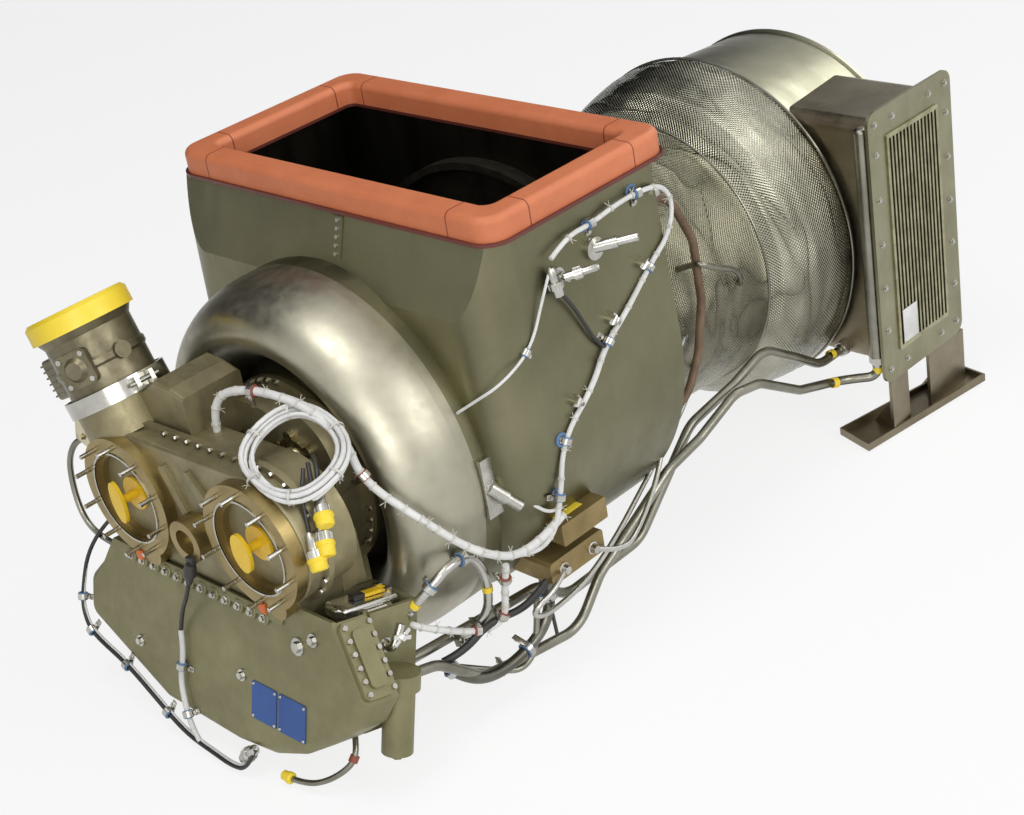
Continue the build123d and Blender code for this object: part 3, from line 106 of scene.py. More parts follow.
def add(tree, kind, inputs=None, **settings):
    """Add one shader node; each input takes a value or follows another node's socket."""
    made = tree.nodes.new(kind)
    for key, value in settings.items():
        setattr(made, key, value)
    for key, value in (inputs or {}).items():
        if isinstance(value, bpy.types.NodeSocket):
            tree.links.new(value, made.inputs[key])
        else:
            made.inputs[key].default_value = value
    return made


def maths(tree, operation, *numbers):
    """One sum on numbers or sockets, whose result is a socket."""
    return add(tree, "ShaderNodeMath", dict(enumerate(numbers)), operation=operation).outputs[0]


def seen_rays(tree):
    """1 for camera, mirrored and see-through rays, 0 for the light that falls on things."""
    path = add(tree, "ShaderNodeLightPath").outputs
    first = maths(tree, "MAXIMUM", path["Is Camera Ray"], path["Is Glossy Ray"])
    return maths(tree, "MAXIMUM", first, path["Is Transmission Ray"])


def stage_sheet(name, shape, material):
    """A sheet of the studio, which isn't part of the object."""
    data = bpy.data.meshes.new(name)
    shape.to_mesh(data)
    shape.free()
    data.materials.append(material)
    return placed(name, data)


paper = bpy.data.materials.new("studio_paper")
paper.use_nodes = True
tree = paper.node_tree
plain = tree.nodes["Principled BSDF"]
plain.inputs["Base Color"].default_value = (0.86, 0.86, 0.85, 1)
plain.inputs["Roughness"].default_value = 0.9
glow = add(tree, "ShaderNodeEmission", WHITE)
share = maths(tree, "MULTIPLY", seen_rays(tree), GLOW_SHARE)
blend = add(tree, "ShaderNodeMixShader", {"Fac": share, 1: plain.outputs[0], 2: glow.outputs[0]})
tree.links.new(blend.outputs[0], tree.nodes["Material Output"].inputs["Surface"])

floor_mesh = bmesh.new()
bmesh.ops.create_grid(floor_mesh, x_segments=2, y_segments=2, size=FLOOR_HALF)
bmesh.ops.translate(floor_mesh, verts=floor_mesh.verts, vec=(0, 0, FLOOR_Z))
studio_floor = stage_sheet("studio_floor", floor_mesh, paper)

world = bpy.data.worlds.new("studio_world")
bpy.context.scene.world = world
world.use_nodes = True
tree = world.node_tree
room = tree.nodes["Background"]
room.inputs["Color"].default_value = (0.95, 0.97, 1.0, 1)
room.inputs["Strength"].default_value = 0.42
white = add(tree, "ShaderNodeBackground", WHITE)
blend = add(tree, "ShaderNodeMixShader", {"Fac": seen_rays(tree), 1: room.outputs[0], 2: white.outputs[0]})
tree.links.new(blend.outputs[0], tree.nodes["World Output"].inputs["Surface"])
print("floor at", round(FLOOR_Z, 3), "m")

# %% [markdown]
# Four large area lamps do the rest. The key lamp stands low beside the camera and puts the highlight on
# the round nose, one hangs above the gearbox, one grazes the cooler side, and one behind lifts the hot end.
# A dark sheet, which studios call a flag, leans over from the left: a camera doesn't see it, but polished
# metal mirrors it, and that gives the tops of the round shells their dark tone.

# %% Lamps and the flag
# name, place, target, size and power, in metres and watts
LAMPS = (("key", (2.9, -2.7, 1.5), (0.1, 0, 0.1), 2.4, 56),
         ("top", (0.4, -0.9, 3.4), (0, 0, 0), 1.5, 40),
         ("side", (3.6, 0.9, 2.0), (0.2, 0.5, 0), 2.0, 44),
         ("back", (0.6, 3.4, 2.4), (0, 0.9, 0.1), 1.6, 22))
FLAG_CORNERS = ((-5.2, -4.5, 0), (-5.2, 6.5, 0), (-2.2, 6.5, 5.2), (-2.2, -4.5, 5.2))

for title, spot, target, size, watts in LAMPS:
    lamp = bpy.data.lights.new(title + "_lamp", "AREA")
    lamp.shape, lamp.size, lamp.energy = "DISK", size, watts
    aim = (Vector(spot) - Vector(target)).to_track_quat("Z", "Y").to_matrix().to_4x4()
    placed(title + "_lamp", lamp).matrix_world = Matrix.Translation(spot) @ aim
    print(title, watts, "W")

felt = bpy.data.materials.new("flag_felt")
felt.use_nodes = True
cloth = felt.node_tree.nodes["Principled BSDF"]
cloth.inputs["Base Color"].default_value = (0.03, 0.03, 0.03, 1)
cloth.inputs["Roughness"].default_value = 0.95
flag_mesh = bmesh.new()
flag_mesh.faces.new([flag_mesh.verts.new(spot) for spot in FLAG_CORNERS])
studio_flag = stage_sheet("studio_flag", flag_mesh, felt)
studio_flag.visible_camera = False

# %% [markdown]
# Every finish here shares one recipe, so it is one function. Two colours are mixed by a large soft
# noise, which makes the uneven tone of real metal, a finer noise changes the gloss, and the finest one
# raises the grain as bump. Stretching the coordinates turns the same grain into brush marks.
# The coordinates are the object's own, and every object sits at the origin, so they are true metres.

# %% The finish recipe

def two_colours(tree, share, first, second):
    """Mix two colours, or two colour sockets, by a share."""
    first, second = [c if isinstance(c, bpy.types.NodeSocket) else (*c, 1) for c in (first, second)]
    return add(tree, "ShaderNodeMix", {0: share, 6: first, 7: second}, data_type="RGBA").outputs[2]


def cloudy(tree, where, scale, detail, rough):
    """A noise over given coordinates."""
    inputs = {"Vector": where, "Scale": scale, "Detail": detail, "Roughness": rough}
    return add(tree, "ShaderNodeTexNoise", inputs).outputs["Fac"]


def scaled(tree, value, low, high, to_low=0.0, to_high=1.0):
    """Stretch a value's range from low and high to a new one."""
    inputs = {"Value": value, "From Min": low, "From Max": high, "To Min": to_low, "To Max": to_high}
    return add(tree, "ShaderNodeMapRange", inputs).outputs[0]


def finish(title, dark, light, metallic=1.0, gloss=(0.3, 0.5), patch=7.0, grain=900.0, rise=0.1,
           stretch=(1, 1, 1), depth=0.0004, contrast=0.5):
    """A worn surface between two colours; gloss is the roughness range, rise the strength of the grain."""
    made = bpy.data.materials.new(title)
    made.use_nodes = True
    tree = made.node_tree
    where = add(tree, "ShaderNodeTexCoord").outputs["Object"]
    brushed = add(tree, "ShaderNodeMapping", {"Vector": where, "Scale": stretch}).outputs[0]
    reach = contrast * 0.45
    share = scaled(tree, cloudy(tree, where, patch, 6.0, 0.62), 0.5 - reach, 0.5 + reach)
    rough = scaled(tree, cloudy(tree, brushed, patch * 6, 5.0, 0.7), 0.3, 0.7, *gloss)
    height = cloudy(tree, brushed, grain, 3.0, 0.6)
    bump = add(tree, "ShaderNodeBump", {"Height": height, "Strength": rise, "Distance": depth})
    inputs = tree.nodes["Principled BSDF"].inputs
    inputs["Metallic"].default_value = metallic
    tree.links.new(two_colours(tree, share, dark, light), inputs["Base Color"])
    tree.links.new(rough, inputs["Roughness"])
    tree.links.new(bump.outputs[0], inputs["Normal"])
    return made


def overlay_colour(material, share, colour):
    """Lay a colour over a finish where the share is 1; it lays the seal's splice lines and the intake's
    painted inside shade.
    """
    tree = material.node_tree
    target = tree.nodes["Principled BSDF"].inputs["Base Color"]
    tree.links.new(two_colours(tree, share, target.links[0].from_socket, colour), target)


def dress(material, *names):
    """Give CAD solids a finish; their shape stays as packed."""
    for name in names:
        for place in nodes[name].material_slots:
            place.material = material


print("finish recipe ready")

# %% [markdown]
# Thin titanium sheet is blasted before it is welded, so it is dull, olive grey and a little smeared by
# hands. The intake's inside is painted near-black, as painted shade for the deep hollow. The side is told
# from the surface's own direction: where a face looks back at the middle of the box, it is an inside face.

# %% Sheet metal of the intake
INTAKE_MIDDLE = (0, 0.204, 0.16)
sheet_skin = finish("sheet_skin", (0.115, 0.108, 0.062), (0.275, 0.262, 0.165), gloss=(0.34, 0.52),
                    patch=3.5, grain=1400, rise=0.18, stretch=(1, 1, 0.12), contrast=0.9)
tree = sheet_skin.node_tree
surface = add(tree, "ShaderNodeNewGeometry").outputs
away = add(tree, "ShaderNodeVectorMath", {0: surface["Position"], 1: INTAKE_MIDDLE}, operation="SUBTRACT")
inward = add(tree, "ShaderNodeVectorMath", {0: away.outputs[0], 1: surface["Normal"]},
             operation="DOT_PRODUCT")
# painted shade: faces that look back at the middle are the hollow's inside and get a near-black colour for
# the shade in there
overlay_colour(sheet_skin, maths(tree, "LESS_THAN", inward.outputs["Value"], -0.02), (0.040, 0.038, 0.028))
dress(sheet_skin, "intake_plenum")

# painted shade: the bulkhead and shaft tunnel deep inside the intake get a near-black colour for the shade
# they sit in
inner_dark = finish("shadowed_metal", (0.040, 0.038, 0.028), (0.080, 0.076, 0.056), gloss=(0.45, 0.65),
                    patch=9)
dress(inner_dark, "rear_bulkhead", "shaft_tunnel")
ring_skin = finish("blasted_ring", (0.290, 0.274, 0.210), (0.500, 0.478, 0.375), gloss=(0.33, 0.46), patch=9,
                   grain=1100, rise=0.14, contrast=0.8)
dress(ring_skin, "nose_ring")
plate_skin = finish("cone_plate_skin", (0.060, 0.055, 0.034), (0.150, 0.140, 0.095), gloss=(0.34, 0.55),
                    patch=16)
dress(plate_skin, "nose_cone_plate")
print("intake dressed")

# %% [markdown]
# The seal is one moulded strip of silicone rubber, joined with glued splices near its corners. The
# splices are thin lines across the strip, so they come from the object's own x and y.

# %% Seal rubber and its retainer
SPLICES = (("X", 0.262), ("X", -0.268), ("Y", 0.352), ("Y", 0.135))
SPLICE_HALF = 0.0011
seal_rubber = finish("seal_rubber", (0.500, 0.135, 0.052), (0.690, 0.225, 0.100), metallic=0.0,
                     gloss=(0.42, 0.62), patch=14, grain=520, rise=0.25, contrast=0.9)
tree = seal_rubber.node_tree
where = add(tree, "ShaderNodeTexCoord")
across = add(tree, "ShaderNodeSeparateXYZ", {0: where.outputs["Object"]}).outputs
lines = 0.0
for axis, spot in SPLICES:
    lines = maths(tree, "MAXIMUM", lines, maths(tree, "COMPARE", across[axis], spot, SPLICE_HALF))
overlay_colour(seal_rubber, lines, (0.20, 0.035, 0.015))
dress(seal_rubber, "intake_seal")
maroon = finish("maroon_enamel", (0.085, 0.020, 0.015), (0.150, 0.036, 0.026), metallic=0.1)
dress(maroon, "seal_retainer")
print("seal dressed")

# %% [markdown]
# The gearbox and the sump are sand castings with a chromate finish: olive, finely pebbled, and paler
# where hands and tools have rubbed them. The pads keep the gold of the same treatment on turned metal.

# %% Castings and gold film
cast_olive = finish("cast_olive", (0.150, 0.136, 0.066), (0.310, 0.288, 0.155), metallic=0.55,
                    gloss=(0.40, 0.60), patch=8, grain=420, rise=0.45, contrast=0.8)
dress(cast_olive, "sump_housing", "sump_side_cover", "filter_bowl")
case_olive = finish("case_olive", (0.140, 0.116, 0.055), (0.390, 0.345, 0.205), metallic=0.65,
                    gloss=(0.36, 0.56), patch=15, grain=480, rise=0.40, contrast=0.9)
dress(case_olive, "gearbox_case", "elbow_duct")
gold_film = finish("gold_film", (0.205, 0.150, 0.052), (0.400, 0.310, 0.135), metallic=0.85,
                   gloss=(0.26, 0.42), patch=18, grain=700, rise=0.15, stretch=(1, 0.2, 1), contrast=0.9)
dress(gold_film, "generator_pads", "shaft_port", "adapter_ring")
cover_gold = finish("turned_gold", (0.46, 0.41, 0.25), (0.64, 0.58, 0.40), gloss=(0.2, 0.36), patch=22,
                    contrast=0.7)
dress(cover_gold, "accessory_cover")
valve_brown = finish("valve_brown", (0.095, 0.082, 0.046), (0.250, 0.222, 0.145), metallic=0.8,
                     gloss=(0.32, 0.5), patch=20, grain=600, rise=0.25)
dress(valve_brown, "valve_body", "valve_actuator")
print("castings dressed")

# %% [markdown]
# Turned and polished steel differ only in gloss and in the direction of their grain. The hot parts are
# straw and violet brown where the exhaust has coloured them, so their two colours lie far apart. The
# cooler and its duct are sheet and fins of light alloy under a thin tan film.

# %% Steels and light alloys
turned_steel = finish("turned_steel", (0.36, 0.35, 0.31), (0.60, 0.59, 0.55), gloss=(0.18, 0.34), patch=30)
dress(turned_steel, "fasteners", "pad_studs", "sump_plugs", "main_shaft", "drive_pinions",
      "generator_gear_left", "generator_gear_right", "accessory_gear", "oil_pump_gear", "shaft_bearings",
      "sensors", "harness_clamps")
polished = finish("polished_band", (0.36, 0.35, 0.31), (0.56, 0.55, 0.50), gloss=(0.12, 0.24), patch=14,
                  rise=0.02)
dress(polished, "v_band_clamp")
cap_chrome = finish("cap_chrome", (0.62, 0.61, 0.58), (0.80, 0.79, 0.76), gloss=(0.22, 0.34), patch=20,
                    rise=0.05)
dress(cap_chrome, "filler_cap")
tube_steel = finish("tube_steel", (0.170, 0.163, 0.128), (0.330, 0.320, 0.265), gloss=(0.26, 0.42), patch=12,
                    rise=0.08)
dress(tube_steel, "oil_tubes", "cooler_header", "valve_disc")
alloy = finish("machined_alloy", (0.40, 0.39, 0.36), (0.56, 0.55, 0.51), gloss=(0.22, 0.4), patch=20)
dress(alloy, "impeller", "bearing_carrier", "compressor_casing")
heat_steel = finish("heat_coloured_steel", (0.135, 0.105, 0.075), (0.330, 0.300, 0.250), gloss=(0.26, 0.46),
                    patch=10, contrast=1.0)
dress(heat_steel, "combustor_casing", "combustor_liner", "fuel_nozzles", "turbine_casing", "turbine_nozzle",
      "turbine_wheels", "exhaust_duct")
barrel_skin = finish("barrel_skin", (0.210, 0.203, 0.140), (0.400, 0.390, 0.290), gloss=(0.24, 0.4), patch=5,
                     grain=1200, stretch=(0.15, 1, 0.15))
dress(barrel_skin, "exhaust_barrel")
cooler_skin = finish("cooler_sheet", (0.190, 0.178, 0.108), (0.390, 0.372, 0.260), gloss=(0.30, 0.50),
                     patch=9, grain=900, rise=0.12, stretch=(1, 1, 0.15), contrast=0.8)
dress(cooler_skin, "cooler_plate")
duct_skin = finish("tan_duct_sheet", (0.150, 0.120, 0.072), (0.300, 0.262, 0.190), gloss=(0.30, 0.46),
                   patch=7)
dress(duct_skin, "cooler_duct", "skid_bracket")
core_fins = finish("core_fins", (0.240, 0.225, 0.130), (0.500, 0.480, 0.320), gloss=(0.28, 0.45), patch=40)
dress(core_fins, "cooler_core")
print("steels dressed")

# %% [markdown]
# Rubber, plastic, paint and cloth come last. Rubber, plastic and cloth aren't metal at all, so their
# metallic value is 0, and their grain is larger and softer. Paint over metal lies in between.

# %% Plastics, paint and rubber
yellow = finish("yellow_plastic", (0.780, 0.470, 0.010), (0.900, 0.620, 0.030), metallic=0.0,
                gloss=(0.3, 0.45), patch=12, grain=300, rise=0.08)
dress(yellow, "shipping_plugs", "filler_lever")
cap_yellow = finish("cap_plastic", (0.800, 0.560, 0.020), (0.900, 0.700, 0.060), metallic=0.0,
                    gloss=(0.35, 0.5))
dress(cap_yellow, "valve_cap")
plate_blue = finish("blue_anodised_plate", (0.016, 0.060, 0.240), (0.030, 0.100, 0.330), metallic=0.3,
                    gloss=(0.3, 0.45))
dress(plate_blue, "data_plates")
box_bronze = finish("bronze_box_paint", (0.210, 0.150, 0.055), (0.330, 0.250, 0.110), metallic=0.7,
                    patch=16)
dress(box_bronze, "control_boxes")
hose_brown = finish("hose_braid", (0.105, 0.060, 0.032), (0.230, 0.150, 0.090), metallic=0.1,
                    gloss=(0.42, 0.6), patch=30, grain=700, rise=0.8, depth=0.001)
dress(hose_brown, "bleed_hose")
sleeve_white = finish("woven_sleeve", (0.620, 0.615, 0.590), (0.800, 0.795, 0.775), metallic=0.0,
                      gloss=(0.6, 0.8), patch=20, grain=1500, rise=0.8, depth=0.0008)
dress(sleeve_white, "wiring_harness")
cushion_blue = finish("cushion_blue", (0.075, 0.150, 0.290), (0.130, 0.230, 0.400), metallic=0.0,
                      gloss=(0.4, 0.6))
black_rubber = finish("black_rubber", (0.012, 0.012, 0.011), (0.034, 0.033, 0.030), metallic=0.0,
                      gloss=(0.35, 0.6))
clamp_red = finish("red_brown_rubber", (0.200, 0.045, 0.026), (0.300, 0.075, 0.045), metallic=0.0,
                   gloss=(0.4, 0.6))
dark_box = finish("dark_box_paint", (0.028, 0.028, 0.026), (0.060, 0.059, 0.054), metallic=0.3,
                  gloss=(0.35, 0.55))
print("soft and painted parts dressed")

# %% [markdown]
# Small pieces are built up from a few plain shapes: bars, turned profiles and rounded blocks. Each is
# made in a small bmesh of its own, moved to its place, and folded into the piece, so that nothing has to
# guess which points are new. A finished piece is merged, its faces are turned outwards, and it rides on
# the body that carries it.

# %% Tools for making pieces
MERGE = 0.00001


def on_line(start, end):
    """A place at start, in mm, whose own z points to end."""
    way = (Vector(end) - Vector(start)).normalized()
    return Matrix.Translation(Vector(start) * MM) @ way.to_track_quat("Z", "Y").to_matrix().to_4x4()


def fold_in(shape, part, place):
    """Move a small shape to its place and add it to the piece."""
    part.transform(place)
    passing = bpy.data.meshes.new("passing")
    part.to_mesh(passing)
    part.free()
    shape.from_mesh(passing)
    bpy.data.meshes.remove(passing)


def bar(shape, start, end, radius, far=None):
    """A six-sided bar or cone between two points, with closed ends."""
    part = bmesh.new()
    length = (Vector(end) - Vector(start)).length * MM
    bmesh.ops.create_cone(part, cap_ends=True, segments=6, radius1=radius * MM,
                          radius2=(radius if far is None else far) * MM, depth=length)
    fold_in(shape, part, on_line(start, end) @ Matrix.Translation((0, 0, length / 2)))


def turned(shape, start, end, profile, steps=20):
    """Spin (along, radius) points, in mm from start, round the line towards end."""
    part = bmesh.new()
    rim = [part.verts.new((radius * MM, 0, along * MM)) for along, radius in profile]
    edges = [part.edges.new(pair) for pair in zip(rim, rim[1:])]
    bmesh.ops.spin(part, geom=rim + edges, axis=(0, 0, 1), cent=(0, 0, 0), angle=math.tau, steps=steps,
                   use_merge=True)
    fold_in(shape, part, on_line(start, end))


def block(shape, middle, size, turn=None, edge=1.0, rounds=2):
    """A box with rounded edges round a middle point."""
    part = bmesh.new()
    bmesh.ops.create_cube(part, size=1.0)
    bmesh.ops.scale(part, verts=part.verts, vec=Vector(size) * MM)
    bmesh.ops.bevel(part, geom=part.edges[:], offset=edge * MM, offset_type="OFFSET", segments=rounds,
                    profile=0.5, affect="EDGES", material=-1)
    fold_in(shape, part, Matrix.Translation(Vector(middle) * MM) @ (turn or Matrix()))


def piece(name, shape, material, body="frame_body", sharp=38):
    """Merge and smooth a shape, turn its faces outwards and let it ride on its body."""
    bmesh.ops.remove_doubles(shape, verts=shape.verts, dist=MERGE)
    bmesh.ops.recalc_face_normals(shape, faces=shape.faces)
    data = bpy.data.meshes.new(name)
    shape.to_mesh(data)
    shape.free()
    data.shade_smooth()
    data.set_sharp_from_angle(angle=math.radians(sharp))
    data.materials.append(material)
    made = placed(name, data)
    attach(made, body)
    return made


def hex_screw(shape, seat, way, radius=4.0, height=3.5):
    """A six-sided head on a round washer, standing on its seat."""
    seat, way = Vector(seat), Vector(way).normalized()
    rim = radius * 1.35
    turned(shape, seat, seat + way, [(0, 0), (0, rim), (0.9, rim), (0.9, 0)], 14)
    bar(shape, seat + way * 0.8, seat + way * (0.9 + height), radius, radius * 0.94)


print("tools ready")

# %% [markdown]
# Everything long and bendy is a cable: a NURBS curve with a round bevel, laid through the points of its
# route. Ties and clamps need to know where the smooth line really runs, so the same curve is turned into
# plain edges once, and its points are walked at even steps. A loop clamp finds the spot of that line
# nearest to where it should sit, so clamp and cable share one centre.

# %% Cables and the line they follow
SWELL = 0.12
SEARCH_STEP = 2.0


def route_curve(name, points, radius=0.0, swell=None):
    """A smooth curve through a route given in mm; swell is the dice that vary its thickness."""
    line = bpy.data.curves.new(name, "CURVE")
    line.dimensions = "3D"
    line.bevel_depth = radius * MM
    line.bevel_resolution = 3
    line.resolution_u = 8
    line.use_fill_caps = radius > 0
    spline = line.splines.new("NURBS")
    spline.points.add(len(points) - 1)
    for spot, target in zip(points, spline.points):
        target.co = (*(Vector(spot) * MM), 1)
        if swell:
            target.radius = 1 + swell.uniform(-SWELL, SWELL)
    spline.order_u = 3
    spline.use_endpoint_u = True
    return placed(name, line)


def cable(name, points, radius, material, body="frame_body", swell=None):
    """A round cable along a route, riding on a body."""
    made = route_curve(name, points, radius, swell)
    made.data.materials.append(material)
    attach(made, body)
    return made


def walk(points, gap, first=0.0):
    """Spots and directions at even steps along the smooth line of a route, in mm."""
    plain = route_curve("walked_route", points)
    bare = bpy.data.meshes.new_from_object(plain)
    line = [v.co / MM for v in bare.vertices]
    thrown = plain.data
    bpy.data.objects.remove(plain)
    bpy.data.curves.remove(thrown)
    bpy.data.meshes.remove(bare)
    spots, ahead = [], first
    for start, end in zip(line, line[1:]):
        run = (end - start).length
        while ahead < run:
            spots.append((start + (end - start) * (ahead / run), (end - start).normalized()))
            ahead += gap
        ahead -= run
    return spots


def nearest(points, target):
    """The spot and direction of a route's smooth line that lie closest to a target."""
    return min(walk(points, SEARCH_STEP), key=lambda place: (place[0] - Vector(target)).length)


def tie(shape, spot, way, radius, dice):
    """A waxed string wound round a cable, with two cut ends."""
    outer = radius + 1.0
    turned(shape, spot - way * 1.6, spot, [(0, radius), (0, outer), (3.2, outer), (3.2, radius)], 12)
    side = way.orthogonal().normalized()
    side.rotate(Matrix.Rotation(dice.uniform(0, math.tau), 3, way))
    for lean in (-0.5, 0.6):
        tip = spot + side * (radius + 6 + dice.uniform(0, 3)) + way * lean * 7
        bar(shape, spot + side * radius, tip, 0.55, 0.45)


def p_clamp(cushions, metal, spot, way, foot, radius):
    """A cushioned loop clamp: soft lining, thin strap, and a flat foot with its screw."""
    way, foot = Vector(way).normalized(), Vector(foot).normalized()
    foot = (foot - way * foot.dot(way)).normalized()
    lining = [(0, radius), (0, radius + 2.6), (1.5, radius + 3.4), (10.5, radius + 3.4), (12, radius + 2.6),
              (12, radius)]
    strap = [(0, radius + 3), (0, radius + 4), (9, radius + 4), (9, radius + 3)]
    turned(cushions, spot - way * 6, spot, lining, 18)
    turned(metal, spot - way * 4.5, spot, strap, 18)
    out = way.cross(foot)
    turn = Matrix((out, way, foot)).transposed().to_4x4()
    reach = radius + 16
    block(metal, spot + foot * reach / 2 - out * (radius + 3), (2, 9, reach), turn, 0.6)
    hex_screw(metal, spot + foot * (radius + 9) - out * (radius + 2), out, 3.6, 3)


straps = bmesh.new()
blue_cushions, red_cushions = bmesh.new(), bmesh.new()


def hold(cushions, route, target, radius, foot=None, wall=None):
    """Clamp a cable near a target; the foot points one way, or lies along a wall and across the cable."""
    spot, way = nearest(route, target)
    p_clamp(cushions, straps, spot, way, foot or Vector(wall).cross(way), radius)


print("cable tools ready")

# %% [markdown]
# The hot section wears blankets of thin steel foil over ceramic wool. The foil is embossed with a grid of
# small dimples, which makes it stiff, and it is creased by hand where it wraps the bulge. A spun profile
# gives the form, noise moves its points into soft lumps, and a UV map laid in metres round and along the
# wrap carries the dimples, so that the pattern follows the surface. The dimples and creases also darken
# the foil's colour, as painted shade and painted reflection. A round bead closes each edge.

# %% Foil blankets
FOIL_PITCH = 0.0052
CREASE_DEPTH, DIMPLE_DEPTH = 0.006, 0.0011
WRAP_STEPS, BEAD_STEPS, BEAD_SIDES = 180, 120, 8
LUMP = 1.4
FRONT_WRAP = ((207, 440), (222, 440), (226, 447), (231, 540), (236, 650), (240, 736), (243, 743))
REAR_WRAP = ((243, 744), (262, 756), (284, 782), (295, 815), (303, 862), (303, 888), (300, 898), (291, 899))


def foil(title, dark, light, pitch, crease, gloss, folds):
    """Embossed foil: dimples and creases read the wrap's own UV map, as bumps and as painted shade in the
    colour.
    """
    made = finish(title, dark, light, gloss=gloss, patch=10, grain=260, rise=0.25, contrast=0.9)
    tree = made.node_tree
    inputs = tree.nodes["Principled BSDF"].inputs
    wrap = add(tree, "ShaderNodeUVMap", uv_map="wrap").outputs[0]
    along = add(tree, "ShaderNodeSeparateXYZ", {0: wrap}).outputs
    waves = [maths(tree, "SINE", maths(tree, "MULTIPLY", along[axis], math.tau / pitch)) for axis in "XY"]
    dimple = maths(tree, "MULTIPLY", *waves)
    drawn = add(tree, "ShaderNodeMapping", {"Vector": wrap, "Scale": folds}).outputs[0]
    cloud = add(tree, "ShaderNodeTexNoise", {"Vector": drawn, "Scale": 1.0, "Detail": 2.0, "Roughness": 0.5,
                                             "Distortion": 0.6})
    ridge = maths(tree, "ABSOLUTE", maths(tree, "SUBTRACT", cloud.outputs["Fac"], 0.5))
    soft = maths(tree, "POWER", ridge, 0.45)
    creases = add(tree, "ShaderNodeBump", {"Height": soft, "Strength": crease, "Distance": CREASE_DEPTH})
    emboss = add(tree, "ShaderNodeBump", {"Height": dimple, "Strength": 0.55, "Distance": DIMPLE_DEPTH,
                                          "Normal": creases.outputs[0]})
    grain = inputs["Normal"].links[0].from_node
    tree.links.new(emboss.outputs[0], grain.inputs["Normal"])
    # painted shade and reflection: the colour darkens in the dimples and along the creases, as light on the
    # bumps would make it
    pale, bright = scaled(tree, dimple, -1.0, 1.0, 0.62), scaled(tree, soft, 0.10, 0.55, 0.40)
    shade = maths(tree, "MULTIPLY", pale, bright)
    tone = inputs["Base Color"].links[0].from_socket
    tree.links.new(two_colours(tree, shade, (0.045, 0.042, 0.026), tone), inputs["Base Color"])
    return made


def wrap_round(name, profile, material, replaced):
    """Spin a blanket's (radius, station) profile round the shaft, with soft lumps and a UV map in metres."""
    shape = bmesh.new()
    rim = [shape.verts.new((radius * MM, station * MM, 0)) for radius, station in profile]
    edges = [shape.edges.new(pair) for pair in zip(rim, rim[1:])]
    bmesh.ops.subdivide_edges(shape, edges=edges, cuts=7)
    bmesh.ops.spin(shape, geom=shape.verts[:] + shape.edges[:], axis=(0, 1, 0), cent=(0, 0, 0),
                   angle=math.tau, steps=WRAP_STEPS, use_merge=True)
    bmesh.ops.remove_doubles(shape, verts=shape.verts, dist=MERGE)
    layer = shape.loops.layers.uv.new("wrap")
    mean = sum(radius for radius, _ in profile) / len(profile) * MM
    for face in shape.faces:
        centre = face.calc_center_median()
        base = math.atan2(centre.x, centre.z)
        for loop in face.loops:
            spot = loop.vert.co
            angle = math.atan2(spot.x, spot.z)
            angle += math.tau * round((base - angle) / math.tau)
            # half the distance from the shaft is added, so that steep parts keep their dimples
            loop[layer].uv = (angle * mean, spot.y + 0.5 * math.hypot(spot.x, spot.z))
    for vert in shape.verts:
        out = Vector((vert.co.x, 0, vert.co.z)).normalized()
        wave = noise.noise(vert.co * 26) + 0.5 * noise.noise(vert.co * 70)
        vert.co += out * (wave - 0.6) * LUMP * MM
    made = piece(name, shape, material, sharp=60)
    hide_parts(replaced)
    print(name, len(made.data.polygons), "faces")


front_foil = foil("front_foil", (0.20, 0.188, 0.125), (0.56, 0.535, 0.40), FOIL_PITCH, 0.85, (0.16, 0.30),
                  (6, 9, 1))
# painted reflection: the rear foil's colours are lighter than the front's, for the brighter reflections on
# the rear wrap
rear_foil = foil("rear_foil", (0.32, 0.31, 0.23), (0.78, 0.765, 0.62), FOIL_PITCH * 1.2, 0.8, (0.10, 0.24),
                 (2.2, 7, 1))
wrap_round("foil_wrap_front", FRONT_WRAP, front_foil, "blanket_front")
wrap_round("foil_wrap_rear", REAR_WRAP, rear_foil, "blanket_rear")

bead = bmesh.new()
for radius, station, thick in ((242, 743, 2.2), (303, 897, 2.6), (223, 441, 2.0)):
    angles = [step * math.tau / BEAD_SIDES for step in range(BEAD_SIDES + 1)]
    hoop = [(station - thick * math.cos(angle), radius + thick * math.sin(angle)) for angle in angles]
    turned(bead, (0, 0, 0), (0, 1, 0), hoop, BEAD_STEPS)
piece("blanket_beads", bead, tube_steel)

# %% [markdown]
# The wiring harness is a bundle of wires in a woven white sleeve. It comes over the gearbox, where its
# spare length lies coiled on the case, and climbs the side of the intake. Over the gearbox and in its
# branch it follows the points of the CAD cord; up the side its thinner run is laid along the wall. Waxed
# string, knotted every few centimetres, holds the bundle.

# %% White harness and its coil
GEARBOX_RUN = ((-10, -205, 127), (-10, -202, 184), (61, -178, 203), (150, -158, 188), (214, -150, 150),
               (226, -148, 84), (300, -119, 28), (337, -56, -56), (347, 27, -100), (350, 100, -68))
BRANCH_RUN = ((342, -18, -92), (322, -12, -142), (316, -14, -195), (300, -50, -206), (290, -150, -140),
              (271, -150, -140))
WALL_RUN = ((300, -119, 28), (337, -56, -56), (347, 27, -100), (352, 72, -92), (352, 98, -42),
            (363, 110, 53), (362, 187, 103), (360, 224, 149), (356, 285, 180), (352, 350, 225),
            (352, 392, 248), (350, 416, 292), (350, 396, 330), (352, 338, 340), (352, 284, 338),
            (350, 240, 331), (352, 190, 334), (356, 150, 318))
COIL_START, COIL_END = (61, -178, 198), (226, -190, 128)
COIL_MIDDLE = Vector((182, -214, 150))
ACROSS, ALONG = Vector((-49, -44, 4)), Vector((-45, 48.5, 30))
# how much further out and how much higher each turn lies
COIL_TURNS = ((0, -6), (0.10, -2), (0.03, 3), (-0.09, 6), (-0.13, -3), (0.07, 5))
# a curve cuts its points' corners and keeps only this share of their distance
CORNER_CUT = 0.73
COIL_BUNDLE_R = 10.5
dice = random.Random(11)

